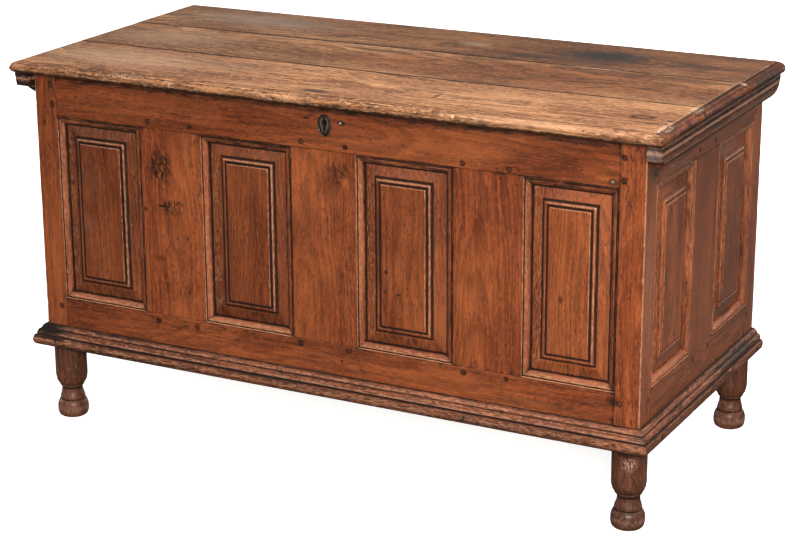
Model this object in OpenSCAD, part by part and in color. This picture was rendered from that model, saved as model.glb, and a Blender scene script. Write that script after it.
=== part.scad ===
// Joined chest: frame-and-panel case on turned feet, with a three-board lid.
// Millimetres. Z is up, the front faces -Y, and the floor is z = 0.

/* [Case] */
// Width of the case across the front, over the posts
case_w = 1200; // [1000:10:1400]
// Depth of the case from front face to back face
case_d = 574; // [480:2:680]
// Height of the case from the rails' underside to their top
case_h = 527; // [440:1:640]
// Thickness of the rails and muntins
stock_t = 26; // [24:1:34]
// Width of a post on the front and back faces
post_w = 46; // [44:1:70]
// Width of a post on the end faces
post_d = 48; // [46:1:70]
// Height of the top rails
top_rail_h = 79.5; // [70:0.5:110]
// Height of the bottom rails
bottom_rail_h = 96; // [90:1:130]
// Width of the front and back muntins
muntin_w = 128; // [70:1:150]
// Width of the end muntins
end_muntin_w = 115; // [70:1:150]
// How far the left muntin stands off its even place
left_muntin_shift = 2; // [-15:0.5:15]
// How far the middle muntin stands off its even place
middle_muntin_shift = 6.5; // [-15:0.5:15]
// How far the right muntin stands off its even place
right_muntin_shift = 11.5; // [-15:0.5:15]

/* [Joints] */
// Thickness of every tenon
tenon_t = 10; // [6:0.5:12]
// Length of every rail and muntin tenon
tenon_l = 26; // [18:1:28]
// How far a top tenon stops below the rail's top
tenon_set = 14; // [8:1:20]
// Clearance round a tenon in its mortise
tenon_gap = 0.1; // [0.05:0.05:0.3]
// Depth of the panel grooves
groove_d = 8; // [6:0.5:10]
// Radius of a frame peg
peg_r = 4.5; // [3:0.25:6]
// Length of a frame peg
peg_l = 22; // [19:1:24]
// How far a peg stands proud of the frame
peg_proud = 0.4; // [0:0.1:1.5]
// Distance of the muntin pegs from the muntin's edge
peg_edge = 17.5; // [13:0.5:26]
// Distance of the muntin pegs from the panel opening
peg_up = 11.5; // [6:0.5:18]

/* [Panels] */
// Depth of a panel's field below the frame's face
field_set = 0.5; // [0:0.1:3]
// Depth of a panel's margin below the frame's face
margin_set = 10.3; // [9:0.1:11]
// Thickness of a panel's tongue
tongue_t = 6; // [4:0.5:7]
// Clearance of a panel in its groove
panel_gap = 0.3; // [0.2:0.05:0.5]
// Width of the sloping bevel
bevel_w = 24.5; // [16:0.5:34]
// Depth of the bevel's upper edge below the frame's face
bevel_top = 5; // [3:0.25:7]
// Width of the step between bevel and field
step_w = 10; // [8:0.5:16]
// Width of the mitred moulding round each panel
strip_w = 14; // [10:0.5:18]
// How far the moulding's outer bead stands proud
strip_proud = 0.6; // [0:0.1:2]
// Open gap at each mitre
mitre_gap = 0.3; // [0.1:0.1:1]

/* [Base and feet] */
// Height of the base moulding
base_h = 40; // [30:1:60]
// Projection of the base moulding
base_p = 22.5; // [16:0.5:32]
// Height of the feet
foot_h = 151; // [120:1:220]
// Radius of a foot's plain upper part
foot_r = 30.3; // [27:0.1:36]
// Radius of a foot's ball
ball_r = 29.7; // [24:0.1:36]
// Height of a foot's ball
ball_h = 34; // [26:1:44]
// Radius of a foot's neck
neck_r = 20.1; // [15:0.1:22]
// Radius of a foot's tenon
foot_tenon_r = 13; // [8:0.5:14]
// Length of a foot's tenon
foot_tenon_h = 36; // [20:1:38]
// Distance of a foot's axis from the case's ends
foot_in_x = 26.7; // [24:0.1:34]
// Distance of a foot's axis from the front and back
foot_in_y = 29.7; // [26:0.1:34]
// Thickness of the bottom boards
floor_t = 12; // [9:0.5:16]
// Height of the bottom boards above the rails' underside
floor_up = 22; // [14:1:30]
// Number of bottom boards
floor_n = 7; // [4:1:10]

/* [Lid] */
// Thickness of the lid
lid_t = 22; // [18:0.5:30]
// Overhang of the lid at the front
lid_over_f = 28; // [18:0.5:40]
// Overhang of the lid at the ends
lid_over_e = 36; // [32:0.5:50]
// Overhang of the lid at the back
lid_over_b = 6; // [2:0.5:7]
// Width of the front board
lid_front_w = 209; // [170:1:230]
// Width of the rear board
lid_rear_w = 198; // [170:1:230]
// How far the rear board's ends stand past the others
lid_rear_proud = 1.5; // [0:0.5:4]
// Width of the thumbnail moulding round the lid
thumb_w = 16; // [10:0.5:22]
// Gap between the boards at the right end
lid_gap_r = 0.4; // [0.2:0.1:0.9]
// Gap between the front and middle boards at the left end
lid_gap_l = 2.4; // [0.4:0.1:4]
// Clearance between the closed lid and the case
lid_seat = 0.3; // [0.1:0.1:0.5]
// Thickness of the cleats
cleat_t = 28; // [20:1:30]
// Height of the cleats
cleat_h = 47; // [34:1:60]
// Gap between a cleat and the end of the case
cleat_gap = 4; // [2:0.5:6]
// Height of the cut-back front end of a cleat
cleat_end_h = 25; // [16:1:32]

/* [Hinges] */
// Distance of each hinge from the middle
hinge_x = 400; // [250:5:440]
// Width of a hinge
hinge_w = 34; // [26:1:50]
// Radius of the hinge's knuckles
knuckle_r = 7; // [6:0.25:9]
// Radius of the hinge's pin
pin_r = 3.4; // [2.5:0.1:3.6]
// Thickness of the hinge's iron
strap_t = 3; // [2:0.25:3.5]
// Length of the strap under the lid
strap_l = 150; // [90:1:180]
// Length of the leaf on the back of the case
leaf_l = 62; // [50:1:70]
// Clearance round the pin
pin_gap = 0.05; // [0.03:0.01:0.1]
// Clearance between the hinge's moving pieces
run_gap = 0.3; // [0.2:0.05:0.5]

/* [Lock] */
// Place of the lock across the front
lock_x = 11; // [-60:1:60]
// Width of the escutcheon
plate_w = 27.5; // [24:0.5:40]
// Height of the escutcheon
plate_h = 40; // [34:1:44]
// Thickness of the escutcheon
plate_t = 1.4; // [1:0.1:3]
// Height of the keyhole
key_h = 18; // [12:0.5:22]
// Width of the lock's case
lock_w = 96; // [90:1:130]
// Height of the lock's case
lock_h = 56; // [50:1:62]
// Depth of the lock's case
lock_d = 16; // [15:0.5:24]
// Thickness of the lock's iron
lock_wall = 2; // [1.5:0.25:3]
// Throw of the bolt
bolt_throw = 10; // [8:0.5:12]

/* [Nails] */
// Radius of the nails' heads
head_r = 2.8; // [2:0.1:4]
// Radius of the nails' shanks
shank_r = 1.3; // [1:0.1:1.6]
// Number of nails in each cleat
cleat_nails = 5; // [3:1:8]

/* [Hidden] */
$fn = 48;
eps = 0.01;

// The origin lies under the middle of everything, from the lid's nose to the hinges' knuckles
hinge_out = knuckle_r + run_gap;
front_y = lid_over_f - (lid_over_f + case_d + hinge_out + knuckle_r) / 2;
back_y = front_y + case_d;
mid_y = front_y + case_d / 2;
z_bottom = foot_h;
z_top = foot_h + case_h;
z_open = z_bottom + bottom_rail_h;
z_close = z_top - top_rail_h;
lid_z = z_top + lid_seat;
hx = case_w / 2;

// Half the width between the posts on the long faces and on the end faces
long_half = case_w / 2 - post_w;
end_half = case_d / 2 - post_d;

// The panels' and tenons' places, measured in from a face
groove_0 = margin_set - panel_gap;
groove_1 = margin_set + tongue_t + panel_gap;
tenon_0 = (groove_0 + groove_1 - tenon_t) / 2;
tenon_1 = tenon_0 + tenon_t;
tongue_l = groove_d - 1;

// Places of the muntins and panel openings across the front
even = (2 * long_half - 3 * muntin_w) / 4;
shifts = [left_muntin_shift, middle_muntin_shift, right_muntin_shift];
front_muntins = [for (i = [0:2]) (i - 1) * (even + muntin_w) + shifts[i]];
back_muntins_u = [for (i = [0:2]) (i - 1) * (even + muntin_w)];
end_muntins = [0];

function opening(half, muntins, w, i) = [
    i == 0 ? -half : muntins[i - 1] + w / 2,
    i == len(muntins) ? half : muntins[i] - w / 2];

// Curved runs of points: part of an ellipse from angle a0 to a1
function arc(cx, cy, rx, ry, a0, a1, n = 6) =
    [for (i = [0:n]) [cx + rx * cos(a0 + (a1 - a0) * i / n), cy + ry * sin(a0 + (a1 - a0) * i / n)]];

function rev(v) = [for (i = [len(v) - 1:-1:0]) v[i]];

// Colours
walnut = "#7d4a30";
walnut_dark = "#5e3424";
lid_wood = "#b98a66";
pine = "#a98057";
foot_wood = "#4c3a30";
iron = "#3b3836";

module box(x0, x1, y0, y1, z0, z1) {
    translate([x0, y0, z0])
        cube([x1 - x0, y1 - y0, z1 - z0]);
}

// Each face of the case is drawn as if seen from outside: x along it, y into the case, z up
module on_front() {
    translate([0, front_y, 0])
        children();
}

module on_back() {
    translate([0, back_y, 0])
        rotate([0, 0, 180])
            children();
}

module on_right() {
    translate([hx, mid_y, 0])
        rotate([0, 0, 90])
            children();
}

module on_left() {
    translate([-hx, mid_y, 0])
        rotate([0, 0, -90])
            children();
}

// A profile of [y, z] points run along x
module along(x0, x1, points) {
    translate([x0, 0, 0])
        rotate([90, 0, 90])
            linear_extrude(x1 - x0)
                polygon(points);
}

// Tenons and pegs

// Heights of the tenons at the end of a top and a bottom rail
top_tenon = [z_close + groove_d, z_top - tenon_set];
bottom_tenon = [z_bottom + foot_tenon_h + 6, z_open - groove_d];

// A rail tenon that starts at x = side and runs to the given direction, grown by the gap
module rail_tenon(side, dir, zs, gap = 0) {
    x0 = dir > 0 ? side - (gap > 0 ? 1 : 0) : side - tenon_l - 4 * gap;
    x1 = dir > 0 ? side + tenon_l + 4 * gap : side + (gap > 0 ? 1 : 0);
    box(x0, x1, tenon_0 - gap, tenon_1 + gap, zs[0] - gap, zs[1] + gap);
}

// A muntin's tenons, at both its ends
module muntin_tenons(u, w, gap = 0) {
    half = w / 2 - groove_d + gap;
    for (zs = [[z_open - tenon_l - 4 * gap, z_open + gap], [z_close - gap, z_close + tenon_l + 4 * gap]])
        box(u - half, u + half, tenon_0 - gap, tenon_1 + gap, zs[0], zs[1]);
}

// Pegs at each joint, as [x, z]: two in each end of a muntin, and three in each post.
// The front's were bored by eye, so they stand a few millimetres off the rule.
post_peg = 9.5;
rail_pegs = [z_close + 17, z_top - 25, z_open - 17];
muntin_by_eye = [[6, -2], [0, 1], [-3, -1.5], [-5.5, 0], [-4, 3], [4, 0], [0, 3], [-3, -1],
    [3.5, 1.5], [-0.5, -2.5], [-9.5, 2.5], [-8.5, -4]];
post_by_eye = [[0, 5], [-2, 3], [-2, 0], [-2, -3.5], [-2, -3], [0, -1]];

function muntin_pegs(muntins, w, k) = [
    for (i = [0:len(muntins) - 1])
    for (j = [0:3])
    let (s = j < 2 ? -1 : 1, e = j % 2, o = k * muntin_by_eye[4 * i + j])
    [muntins[i] + s * (w / 2 - peg_edge) + o[0], (e == 0 ? z_open - peg_up : z_close + peg_up) + o[1]]];

function post_pegs(half, k) = [
    for (j = [0:5])
    let (s = j < 3 ? -1 : 1, o = k * post_by_eye[j])
    [s * (half + post_peg) + o[0], rail_pegs[j % 3] + o[1]]];

function face_pegs(half, muntins, w, k) = concat(muntin_pegs(muntins, w, k), post_pegs(half, k));

front_pegs = face_pegs(long_half, front_muntins, muntin_w, 1);
back_pegs = face_pegs(long_half, back_muntins_u, muntin_w, 0.4);
end_pegs = face_pegs(end_half, end_muntins, end_muntin_w, 0.4);

module pegs(list) {
    for (p = list)
        translate([p[0], -peg_proud, p[1]])
            rotate([-90, 0, 0])
                cylinder(r = peg_r, h = peg_l + peg_proud);
}

module peg_holes(list) {
    for (p = list)
        translate([p[0], -1, p[1]])
            rotate([-90, 0, 0])
                cylinder(r = peg_r + tenon_gap, h = peg_l + 1 + 2 * tenon_gap);
}

// Frame members

module rail(half, z0, z1, is_top, muntins, w, list) {
    z_edge = is_top ? z0 : z1;
    difference() {
        union() {
            box(-half, half, 0, stock_t, z0, z1);
            for (s = [-1, 1])
                rail_tenon(s * half, s, is_top ? top_tenon : bottom_tenon);
        }
        if (is_top)
            box(-half - 1, half + 1, groove_0, groove_1, z_edge - 1, z_edge + groove_d);
        else
            box(-half - 1, half + 1, groove_0, groove_1, z_edge - groove_d, z_edge + 1);
        for (u = muntins)
            muntin_tenons(u, w, tenon_gap);
        peg_holes(list);
    }
}

module muntin(u, w, list) {
    difference() {
        union() {
            box(u - w / 2, u + w / 2, 0, stock_t, z_open, z_close);
            muntin_tenons(u, w);
        }
        for (s = [-1, 1])
            box(u + s * w / 2 - (s > 0 ? groove_d : 1), u + s * w / 2 + (s > 0 ? 1 : groove_d),
                groove_0, groove_1, z_open - 1, z_close + 1);
        peg_holes(list);
    }
}

// What one face of the case takes out of the post at its side s
module post_cuts(half, s, list) {
    rail_tenon(s * half, s, top_tenon, tenon_gap);
    rail_tenon(s * half, s, bottom_tenon, tenon_gap);
    box(s > 0 ? half - 1 : -half - groove_d, s > 0 ? half + groove_d : -half + 1,
        groove_0, groove_1, z_open - groove_d, z_close + groove_d);
    peg_holes([for (p = list) if (p[0] * s > half) p]);
}

module foot_place(sx, sy) {
    translate([sx * (hx - foot_in_x), mid_y + sy * (case_d / 2 - foot_in_y), 0])
        children();
}

// sx is -1 on the left and 1 on the right, sy is -1 at the front and 1 at the back
module post(sx, sy) {
    color(walnut)
        difference() {
            translate([sx * (hx - post_w / 2) - post_w / 2, mid_y + sy * (case_d - post_d) / 2 - post_d / 2,
                z_bottom])
                cube([post_w, post_d, case_h]);
            if (sy < 0)
                on_front() {
                    post_cuts(long_half, sx, front_pegs);
                    base_nail_row(case_w, true);
                }
            else
                on_back() post_cuts(long_half, -sx, back_pegs);
            if (sx > 0)
                on_right() {
                    post_cuts(end_half, sy, end_pegs);
                    base_nail_row(case_d, true);
                }
            else
                on_left() {
                    post_cuts(end_half, -sy, end_pegs);
                    base_nail_row(case_d, true);
                }
            foot_place(sx, sy)
                translate([0, 0, z_bottom - 1])
                    cylinder(r = foot_tenon_r + tenon_gap, h = foot_tenon_h + 2);
        }
}

module front_left_post() post(-1, -1);
module front_right_post() post(1, -1);
module rear_left_post() post(-1, 1);
module rear_right_post() post(1, 1);

module front_top_rail() {
    color(walnut)
        difference() {
            on_front() rail(long_half, z_close, z_top, true, front_muntins, muntin_w, front_pegs);
            keyhole(front_y - 1, front_y + stock_t + 1, tenon_gap);
            on_front() plate_nails(true);
            lock_nails(true);
        }
}

module front_bottom_rail() {
    color(walnut)
        difference() {
            on_front() rail(long_half, z_bottom, z_open, false, front_muntins, muntin_w, front_pegs);
            floor_groove();
            on_front() base_nail_row(case_w, true);
        }
}

module front_left_muntin() color(walnut) on_front() muntin(front_muntins[0], muntin_w, front_pegs);
module front_middle_muntin() color(walnut) on_front() muntin(front_muntins[1], muntin_w, front_pegs);
module front_right_muntin() color(walnut) on_front() muntin(front_muntins[2], muntin_w, front_pegs);

module end_top_rail() {
    rail(end_half, z_close, z_top, true, end_muntins, end_muntin_w, end_pegs);
}

module end_bottom_rail() {
    difference() {
        rail(end_half, z_bottom, z_open, false, end_muntins, end_muntin_w, end_pegs);
        base_nail_row(case_d, true);
    }
}

module left_top_rail() color(walnut) on_left() end_top_rail();
module left_bottom_rail() color(walnut) on_left() end_bottom_rail();
module left_muntin() color(walnut) on_left() muntin(0, end_muntin_w, end_pegs);
module right_top_rail() color(walnut) on_right() end_top_rail();
module right_bottom_rail() color(walnut) on_right() end_bottom_rail();
module right_muntin() color(walnut) on_right() muntin(0, end_muntin_w, end_pegs);

module back_top_rail() {
    color(pine)
        difference() {
            on_back() rail(long_half, z_close, z_top, true, back_muntins_u, muntin_w, back_pegs);
            for (s = [-1, 1])
                box(s * hinge_x - hinge_w / 2 - 0.5, s * hinge_x + hinge_w / 2 + 0.5,
                    back_y - stock_t - 1, back_y + 1, lid_z - strap_t - 0.5, z_top + 1);
            leaf_nails(true);
        }
}

module back_bottom_rail() {
    color(pine)
        difference() {
            on_back() rail(long_half, z_bottom, z_open, false, back_muntins_u, muntin_w, back_pegs);
            floor_groove();
        }
}

module back_muntins() {
    color(pine)
        on_back()
            for (u = back_muntins_u)
                muntin(u, muntin_w, back_pegs);
}

// Panels

// Half of a raised panel's section as [in from the opening's edge, depth below the frame's face]
panel_edge = let (a = strip_w + bevel_w, s = step_w / 10) concat(
    [[-tongue_l, margin_set], [strip_w, margin_set], [a, bevel_top], [a, bevel_top - 0.7]],
    arc(a + 5 * s, bevel_top - 0.7, 5 * s, bevel_top - field_set - 1.9, 180, 270, 5),
    [[a + 5.6 * s, field_set + 2.4], [a + 7.4 * s, field_set + 2.4], [a + 8.2 * s, field_set + 0.5],
        [a + 9 * s, field_set]]);

panel_back = margin_set + tongue_t;

// The section run up the panel and the section run across it, kept where both agree
module raised_panel(o) {
    u0 = o[0];
    u1 = o[1];
    across = concat([for (p = panel_edge) [u0 + p[0], p[1]]], [for (p = rev(panel_edge)) [u1 - p[0], p[1]]],
        [[u1 + tongue_l, panel_back], [u0 - tongue_l, panel_back]]);
    up = concat([for (p = panel_edge) [p[1], z_open + p[0]]], [for (p = rev(panel_edge)) [p[1], z_close - p[0]]],
        [[panel_back, z_close + tongue_l], [panel_back, z_open - tongue_l]]);
    intersection() {
        translate([0, 0, z_open - tongue_l])
            linear_extrude(z_close - z_open + 2 * tongue_l)
                polygon(across);
        along(u0 - tongue_l, u1 + tongue_l, up);
    }
}

module flat_panel(o) {
    box(o[0] - tongue_l, o[1] + tongue_l, margin_set, panel_back, z_open - tongue_l, z_close + tongue_l);
}

module front_panel(i) color(walnut) on_front() raised_panel(opening(long_half, front_muntins, muntin_w, i));
module front_panel_1() front_panel(0);
module front_panel_2() front_panel(1);
module front_panel_3() front_panel(2);
module front_panel_4() front_panel(3);

module end_panel(i) raised_panel(opening(end_half, end_muntins, end_muntin_w, i));
module left_front_panel() color(walnut) on_left() end_panel(1);
module left_rear_panel() color(walnut) on_left() end_panel(0);
module right_front_panel() color(walnut) on_right() end_panel(0);
module right_rear_panel() color(walnut) on_right() end_panel(1);

module back_panels() {
    color(pine)
        on_back()
            for (i = [0:3])
                flat_panel(opening(long_half, back_muntins_u, muntin_w, i));
}

// Section of a panel's moulding as [depth, in from the opening's edge]: bead, quirk, broad round, fillet
strip_section = let (w = strip_w / 14, b = groove_0) concat(
    [[b, tenon_gap], [-strip_proud / 3, tenon_gap], [-strip_proud, 0.7 * w], [-strip_proud, 1.5 * w],
        [0, 2.2 * w], [2.2, 2.6 * w], [2.4, 4.4 * w], [0.6, 5.4 * w]],
    [for (p = arc(5.6 * w, b - 2.5, 7.6 * w, b - 3, -90, 0, 7)) [p[1], p[0]]],
    [[b - 2.2, 13.2 * w], [b - 2, strip_w], [b, strip_w]]);

// One strip with its outer edge on the x axis, mitred at both ends
module strip(l) {
    g = mitre_gap / 2 * sqrt(2);
    intersection() {
        along(0, l, strip_section);
        rotate([90, 0, 0])
            translate([0, 0, -groove_0 - 1])
                linear_extrude(groove_0 + strip_proud + 2)
                    polygon([[g, 0], [l - g, 0], [l - g - strip_w, strip_w], [g + strip_w, strip_w]]);
    }
}

module panel_moulding(o) {
    w = o[1] - o[0];
    h = z_close - z_open;
    translate([o[0], 0, z_open])
        strip(w);
    translate([o[1], 0, z_close])
        rotate([0, 180, 0])
            strip(w);
    translate([o[0], 0, z_close])
        rotate([0, 90, 0])
            strip(h);
    translate([o[1], 0, z_open])
        rotate([0, -90, 0])
            strip(h);
}

module front_moulding(i) {
    color(walnut)
        on_front() panel_moulding(opening(long_half, front_muntins, muntin_w, i));
}

module front_moulding_1() front_moulding(0);
module front_moulding_2() front_moulding(1);
module front_moulding_3() front_moulding(2);
module front_moulding_4() front_moulding(3);

module end_moulding(i) panel_moulding(opening(end_half, end_muntins, end_muntin_w, i));
module left_front_moulding() color(walnut) on_left() end_moulding(1);
module left_rear_moulding() color(walnut) on_left() end_moulding(0);
module right_front_moulding() color(walnut) on_right() end_moulding(0);
module right_rear_moulding() color(walnut) on_right() end_moulding(1);

// Bottom boards

module floor_groove() {
    z0 = z_bottom + floor_up - panel_gap;
    box(-long_half - 1, long_half + 1, front_y + stock_t - groove_d, back_y - stock_t + groove_d,
        z0, z0 + floor_t + 2 * panel_gap);
}

module bottom_boards() {
    inner = case_w - 2 * stock_t - 1;
    w = inner / floor_n;
    z0 = z_bottom + floor_up;
    color(pine)
        difference() {
            for (i = [0:floor_n - 1])
                box(-inner / 2 + i * w + 0.2, -inner / 2 + (i + 1) * w - 0.2, front_y + stock_t - tongue_l,
                    back_y - stock_t + tongue_l, z0, z0 + floor_t);
            for (s = [-1, 1])
                for (y = [front_y - 1, back_y - post_d - panel_gap])
                    box(s > 0 ? hx - post_w - panel_gap : -hx - 1, s > 0 ? hx + 1 : -hx + post_w + panel_gap,
                        y, y + post_d + 1 + panel_gap, z0 - 1, z0 + floor_t + 1);
        }
}

// Base moulding

// Section as [out from the case, up from the rails' underside]
base_section = let (p = base_p / 22.5, h = base_h / 40) concat(
    [[0, 0], [18 * p, 0], [20.4 * p, 2.4 * h]],
    arc(19.5 * p, 11.5 * h, 3 * p, 8 * h, -50, 50, 6),
    [[20.2 * p, 19.2 * h], [16.6 * p, 20 * h], [16.6 * p, 21.4 * h]],
    arc(11.6 * p, 22 * h, 6 * p, 8.6 * h, 0, 90, 6),
    [[10.4 * p, 31 * h]],
    arc(11 * p, 40 * h, 7.4 * p, 7.6 * h, 265, 185, 5),
    [[3.2 * p, 40 * h], [0, 40 * h]]);

// A length along x, mitred outwards at its ends where told
module base_strip(x0, x1, mitre_0, mitre_1) {
    g = mitre_gap;
    a = mitre_0 ? x0 + g : x0;
    b = mitre_1 ? x1 - g : x1;
    intersection() {
        along(x0 - base_p - 1, x1 + base_p + 1, [for (p = base_section) [-p[0], z_bottom + p[1]]]);
        translate([0, 0, z_bottom - 1])
            linear_extrude(base_h + 2)
                polygon([[a, 0], [mitre_0 ? a - base_p : a, -base_p], [mitre_1 ? b + base_p : b, -base_p], [b, 0]]);
    }
}

// Nails in the base moulding, along a face of length l. They stop short of the feet's tenons.
base_nail_z = z_bottom + 11.5 * base_h / 40;
base_nail_in = foot_in_x - foot_tenon_r - 1.5;

function base_nail_places(l) = l == case_w ?
    [for (t = [-0.475, -0.217, -0.033, 0.24, 0.471]) t * l] : [for (t = [-0.41, 0.01, 0.44]) t * l];

module base_nail_row(l, hole = false) {
    for (x = base_nail_places(l))
        translate([x, -base_p, base_nail_z])
            rotate([-90, 0, 0])
                nail(base_p + base_nail_in, hole);
}

// A nail along +z with its head's top at zero, or the hole that takes it
module nail(l, hole = false) {
    g = hole ? 0.1 : 0;
    translate([0, 0, hole ? -6 : 0])
        cylinder(r = shank_r + g, h = l + (hole ? 6.3 : 0));
    translate([0, 0, hole ? -6 : 0])
        cylinder(r = head_r + g, h = 1.2 + (hole ? 6 : 0));
}

module base_moulding_front() {
    color(walnut_dark)
        on_front()
            difference() {
                base_strip(-hx, hx, true, true);
                base_nail_row(case_w, true);
            }
}

module base_moulding_left() {
    color(walnut_dark)
        on_left()
            difference() {
                base_strip(-case_d / 2, case_d / 2, false, true);
                base_nail_row(case_d, true);
            }
}

module base_moulding_right() {
    color(walnut_dark)
        on_right()
            difference() {
                base_strip(-case_d / 2, case_d / 2, true, false);
                base_nail_row(case_d, true);
            }
}

module base_nails() {
    color(iron) {
        on_front() base_nail_row(case_w);
        on_left() base_nail_row(case_d);
        on_right() base_nail_row(case_d);
    }
}

// Turned feet, as [radius, height] from the floor up: ball, neck, cove, shoulder and plain drum
foot_profile = let (b = ball_r, h = ball_h, n = neck_r, r = foot_r) concat(
    [[0, 0], [b - 5.7, 0], [b - 4.3, 1.5]],
    arc(b - 11.5, 0.48 * h, 11.5, 0.46 * h, -62, 62, 9),
    [[b - 6.3, h + 0.8], [b - 5.9, h + 2], [b - 6.4, h + 7]],
    arc(n + 6, h + 20, 6, 13, 205, 180, 4),
    [[n, h + 21.8], [n - 0.5, h + 23]],
    arc(n + 6, h + 22.6, 6, 7, 175, 110, 4),
    [[n + 3.9, h + 29.6], [n + 3.9, h + 31.5]],
    arc(n + 3.9, h + 50, r - n - 3.9, 18.5, -80, 0, 7),
    [[r, foot_h], [foot_tenon_r, foot_h], [foot_tenon_r, foot_h + foot_tenon_h], [0, foot_h + foot_tenon_h]]);

module foot(sx, sy) {
    color(foot_wood)
        foot_place(sx, sy)
            rotate_extrude($fn = 72)
                polygon(foot_profile);
}

module front_left_foot() foot(-1, -1);
module front_right_foot() foot(1, -1);
module rear_left_foot() foot(-1, 1);
module rear_right_foot() foot(1, 1);

// Lid

lid_y0 = front_y - lid_over_f;
lid_y1 = back_y + lid_over_b;
joint_1 = lid_y0 + lid_front_w;
joint_2 = lid_y1 - lid_rear_w;

// Half section of the lid's moulded edge as [in from the nose, up from the underside]
thumb = let (w = thumb_w / 16, t = lid_t / 22) concat(
    [[7 * w, 0], [2.2 * w, 3 * t], [0.4 * w, 6.5 * t]],
    arc(14.8 * w, 10.5 * t, 14.8 * w, 10.3 * t, 180, 95, 8),
    [[15.2 * w, 20.8 * t], [thumb_w, 21.1 * t], [thumb_w, lid_t]]);

// A board from y0 to y1, moulded on both ends and, where told, on its front edge
module lid_board(y0, y1, half, moulded = false) {
    ends = concat([for (p = thumb) [-half + p[0], p[1]]], [for (p = rev(thumb)) [half - p[0], p[1]]]);
    side = moulded ? concat([for (p = thumb) [y0 + p[0], lid_z + p[1]]], [[y1, lid_z + lid_t], [y1, lid_z]]) :
        [[y0, lid_z], [y0, lid_z + lid_t], [y1, lid_z + lid_t], [y1, lid_z]];
    color(lid_wood)
        difference() {
            intersection() {
                translate([0, y1 + 1, lid_z])
                    rotate([90, 0, 0])
                        linear_extrude(y1 - y0 + 2)
                            polygon(ends);
                along(-half - 1, half + 1, side);
            }
            cleat_nail_rows(true);
            strap_nails(true);
            staple_nails(true);
        }
}

lid_half = hx + lid_over_e;

module lid_front_board() lid_board(lid_y0, joint_1, lid_half, true);

// The middle board's front edge runs a little askew, so its joint opens towards the left
module lid_middle_board() {
    intersection() {
        lid_board(joint_1, joint_2, lid_half);
        color(lid_wood)
            translate([0, 0, lid_z - 1])
                linear_extrude(lid_t + 2)
                    polygon([[-lid_half, joint_1 + lid_gap_l], [lid_half, joint_1 + lid_gap_r],
                        [lid_half, joint_2], [-lid_half, joint_2]]);
    }
}

module lid_rear_board() lid_board(joint_2 + lid_gap_r, lid_y1, lid_half + lid_rear_proud);

// Cleats under the lid's ends
cleat_y0 = lid_y0 + 12;
cleat_y1 = lid_y1 - 9;

cleat_section = concat([[0, 0], [cleat_t, 0], [cleat_t, -7]],
    arc(0, -8, cleat_t - 1, cleat_h - 8, 0, -84, 9), [[0, -cleat_h]]);

// Drawn on the right: x from the case outwards
module cleat() {
    color(walnut_dark)
        difference() {
            translate([hx + cleat_gap, cleat_y1, lid_z])
                rotate([90, 0, 0])
                    linear_extrude(cleat_y1 - cleat_y0)
                        polygon(cleat_section);
            along(hx, hx + cleat_gap + cleat_t + 1, [[cleat_y0 - 1, lid_z - cleat_end_h],
                [cleat_y0 + 20, lid_z - cleat_end_h - 4], [cleat_y0 + 28, lid_z - cleat_end_h - 9],
                [cleat_y0 + 40, lid_z - cleat_h - 1], [cleat_y0 - 1, lid_z - cleat_h - 1]]);
            cleat_nail_rows(true);
        }
}

module right_cleat() cleat();
module left_cleat() mirror([1, 0, 0]) cleat();

module cleat_nail_rows(hole = false) {
    step = (cleat_y1 - cleat_y0 - 60) / (cleat_nails - 1);
    for (s = [-1, 1])
        for (i = [0:cleat_nails - 1])
            translate([s * (hx + cleat_gap + cleat_t / 2 - 4), cleat_y0 + 30 + i * step, lid_z + lid_t])
                mirror([0, 0, 1])
                    nail(lid_t + cleat_end_h - 8, hole);
}

module lid_nails() {
    color(iron) {
        cleat_nail_rows();
        strap_nails();
        staple_nails();
    }
}

// Hinges
axis_y = back_y + hinge_out;
axis_z = z_top - hinge_out;
tongue_w = hinge_w / 3 - run_gap;

module at_hinges() {
    for (s = [-1, 1])
        translate([s * hinge_x, 0, 0])
            children();
}

module knuckle(x0, x1, r = knuckle_r) {
    translate([x0, axis_y, axis_z])
        rotate([0, 90, 0])
            cylinder(r = r, h = x1 - x0);
}

module pin_hole(x0, x1) {
    knuckle(x0 - 1, x1 + 1, pin_r + pin_gap);
}

// Fixed leaf on the back rail, with the two outer knuckles
module hinge_leaves() {
    h = hinge_w / 2;
    t = tongue_w / 2 + run_gap;
    color(iron)
        difference() {
            at_hinges()
                difference() {
                    union() {
                        box(-h, h, back_y, back_y + strap_t, axis_z - leaf_l, axis_z);
                        knuckle(-h, -t);
                        knuckle(t, h);
                    }
                    box(-t, t, back_y - 1, back_y + strap_t + 1, axis_z - knuckle_r - run_gap, axis_z + 1);
                    pin_hole(-h, h);
                }
            leaf_nails(true);
        }
}

// Strap let into the underside of the lid's line, narrowed to the middle knuckle
module hinge_straps() {
    h = hinge_w / 2;
    t = tongue_w / 2;
    z0 = lid_z - strap_t;
    color(iron)
        difference() {
            at_hinges()
                difference() {
                    union() {
                        translate([0, 0, z0])
                            linear_extrude(strap_t)
                                polygon([[-t, axis_y], [-t, back_y - 1], [-h, back_y - 1],
                                    [-h, back_y - strap_l + 24], [-h + 6, back_y - strap_l + 8],
                                    [0, back_y - strap_l], [h - 6, back_y - strap_l + 8],
                                    [h, back_y - strap_l + 24], [h, back_y - 1], [t, back_y - 1], [t, axis_y]]);
                        knuckle(-t, t);
                    }
                    pin_hole(-t, t);
                }
            strap_nails(true);
        }
}

module hinge_pins() {
    color(iron)
        at_hinges()
            knuckle(-hinge_w / 2 - 1.5, hinge_w / 2 + 1.5, pin_r);
}

// The leaves' nails stand above the muntins' tenons, wherever the hinges are
leaf_room = axis_z - z_close - tenon_l;

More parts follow.
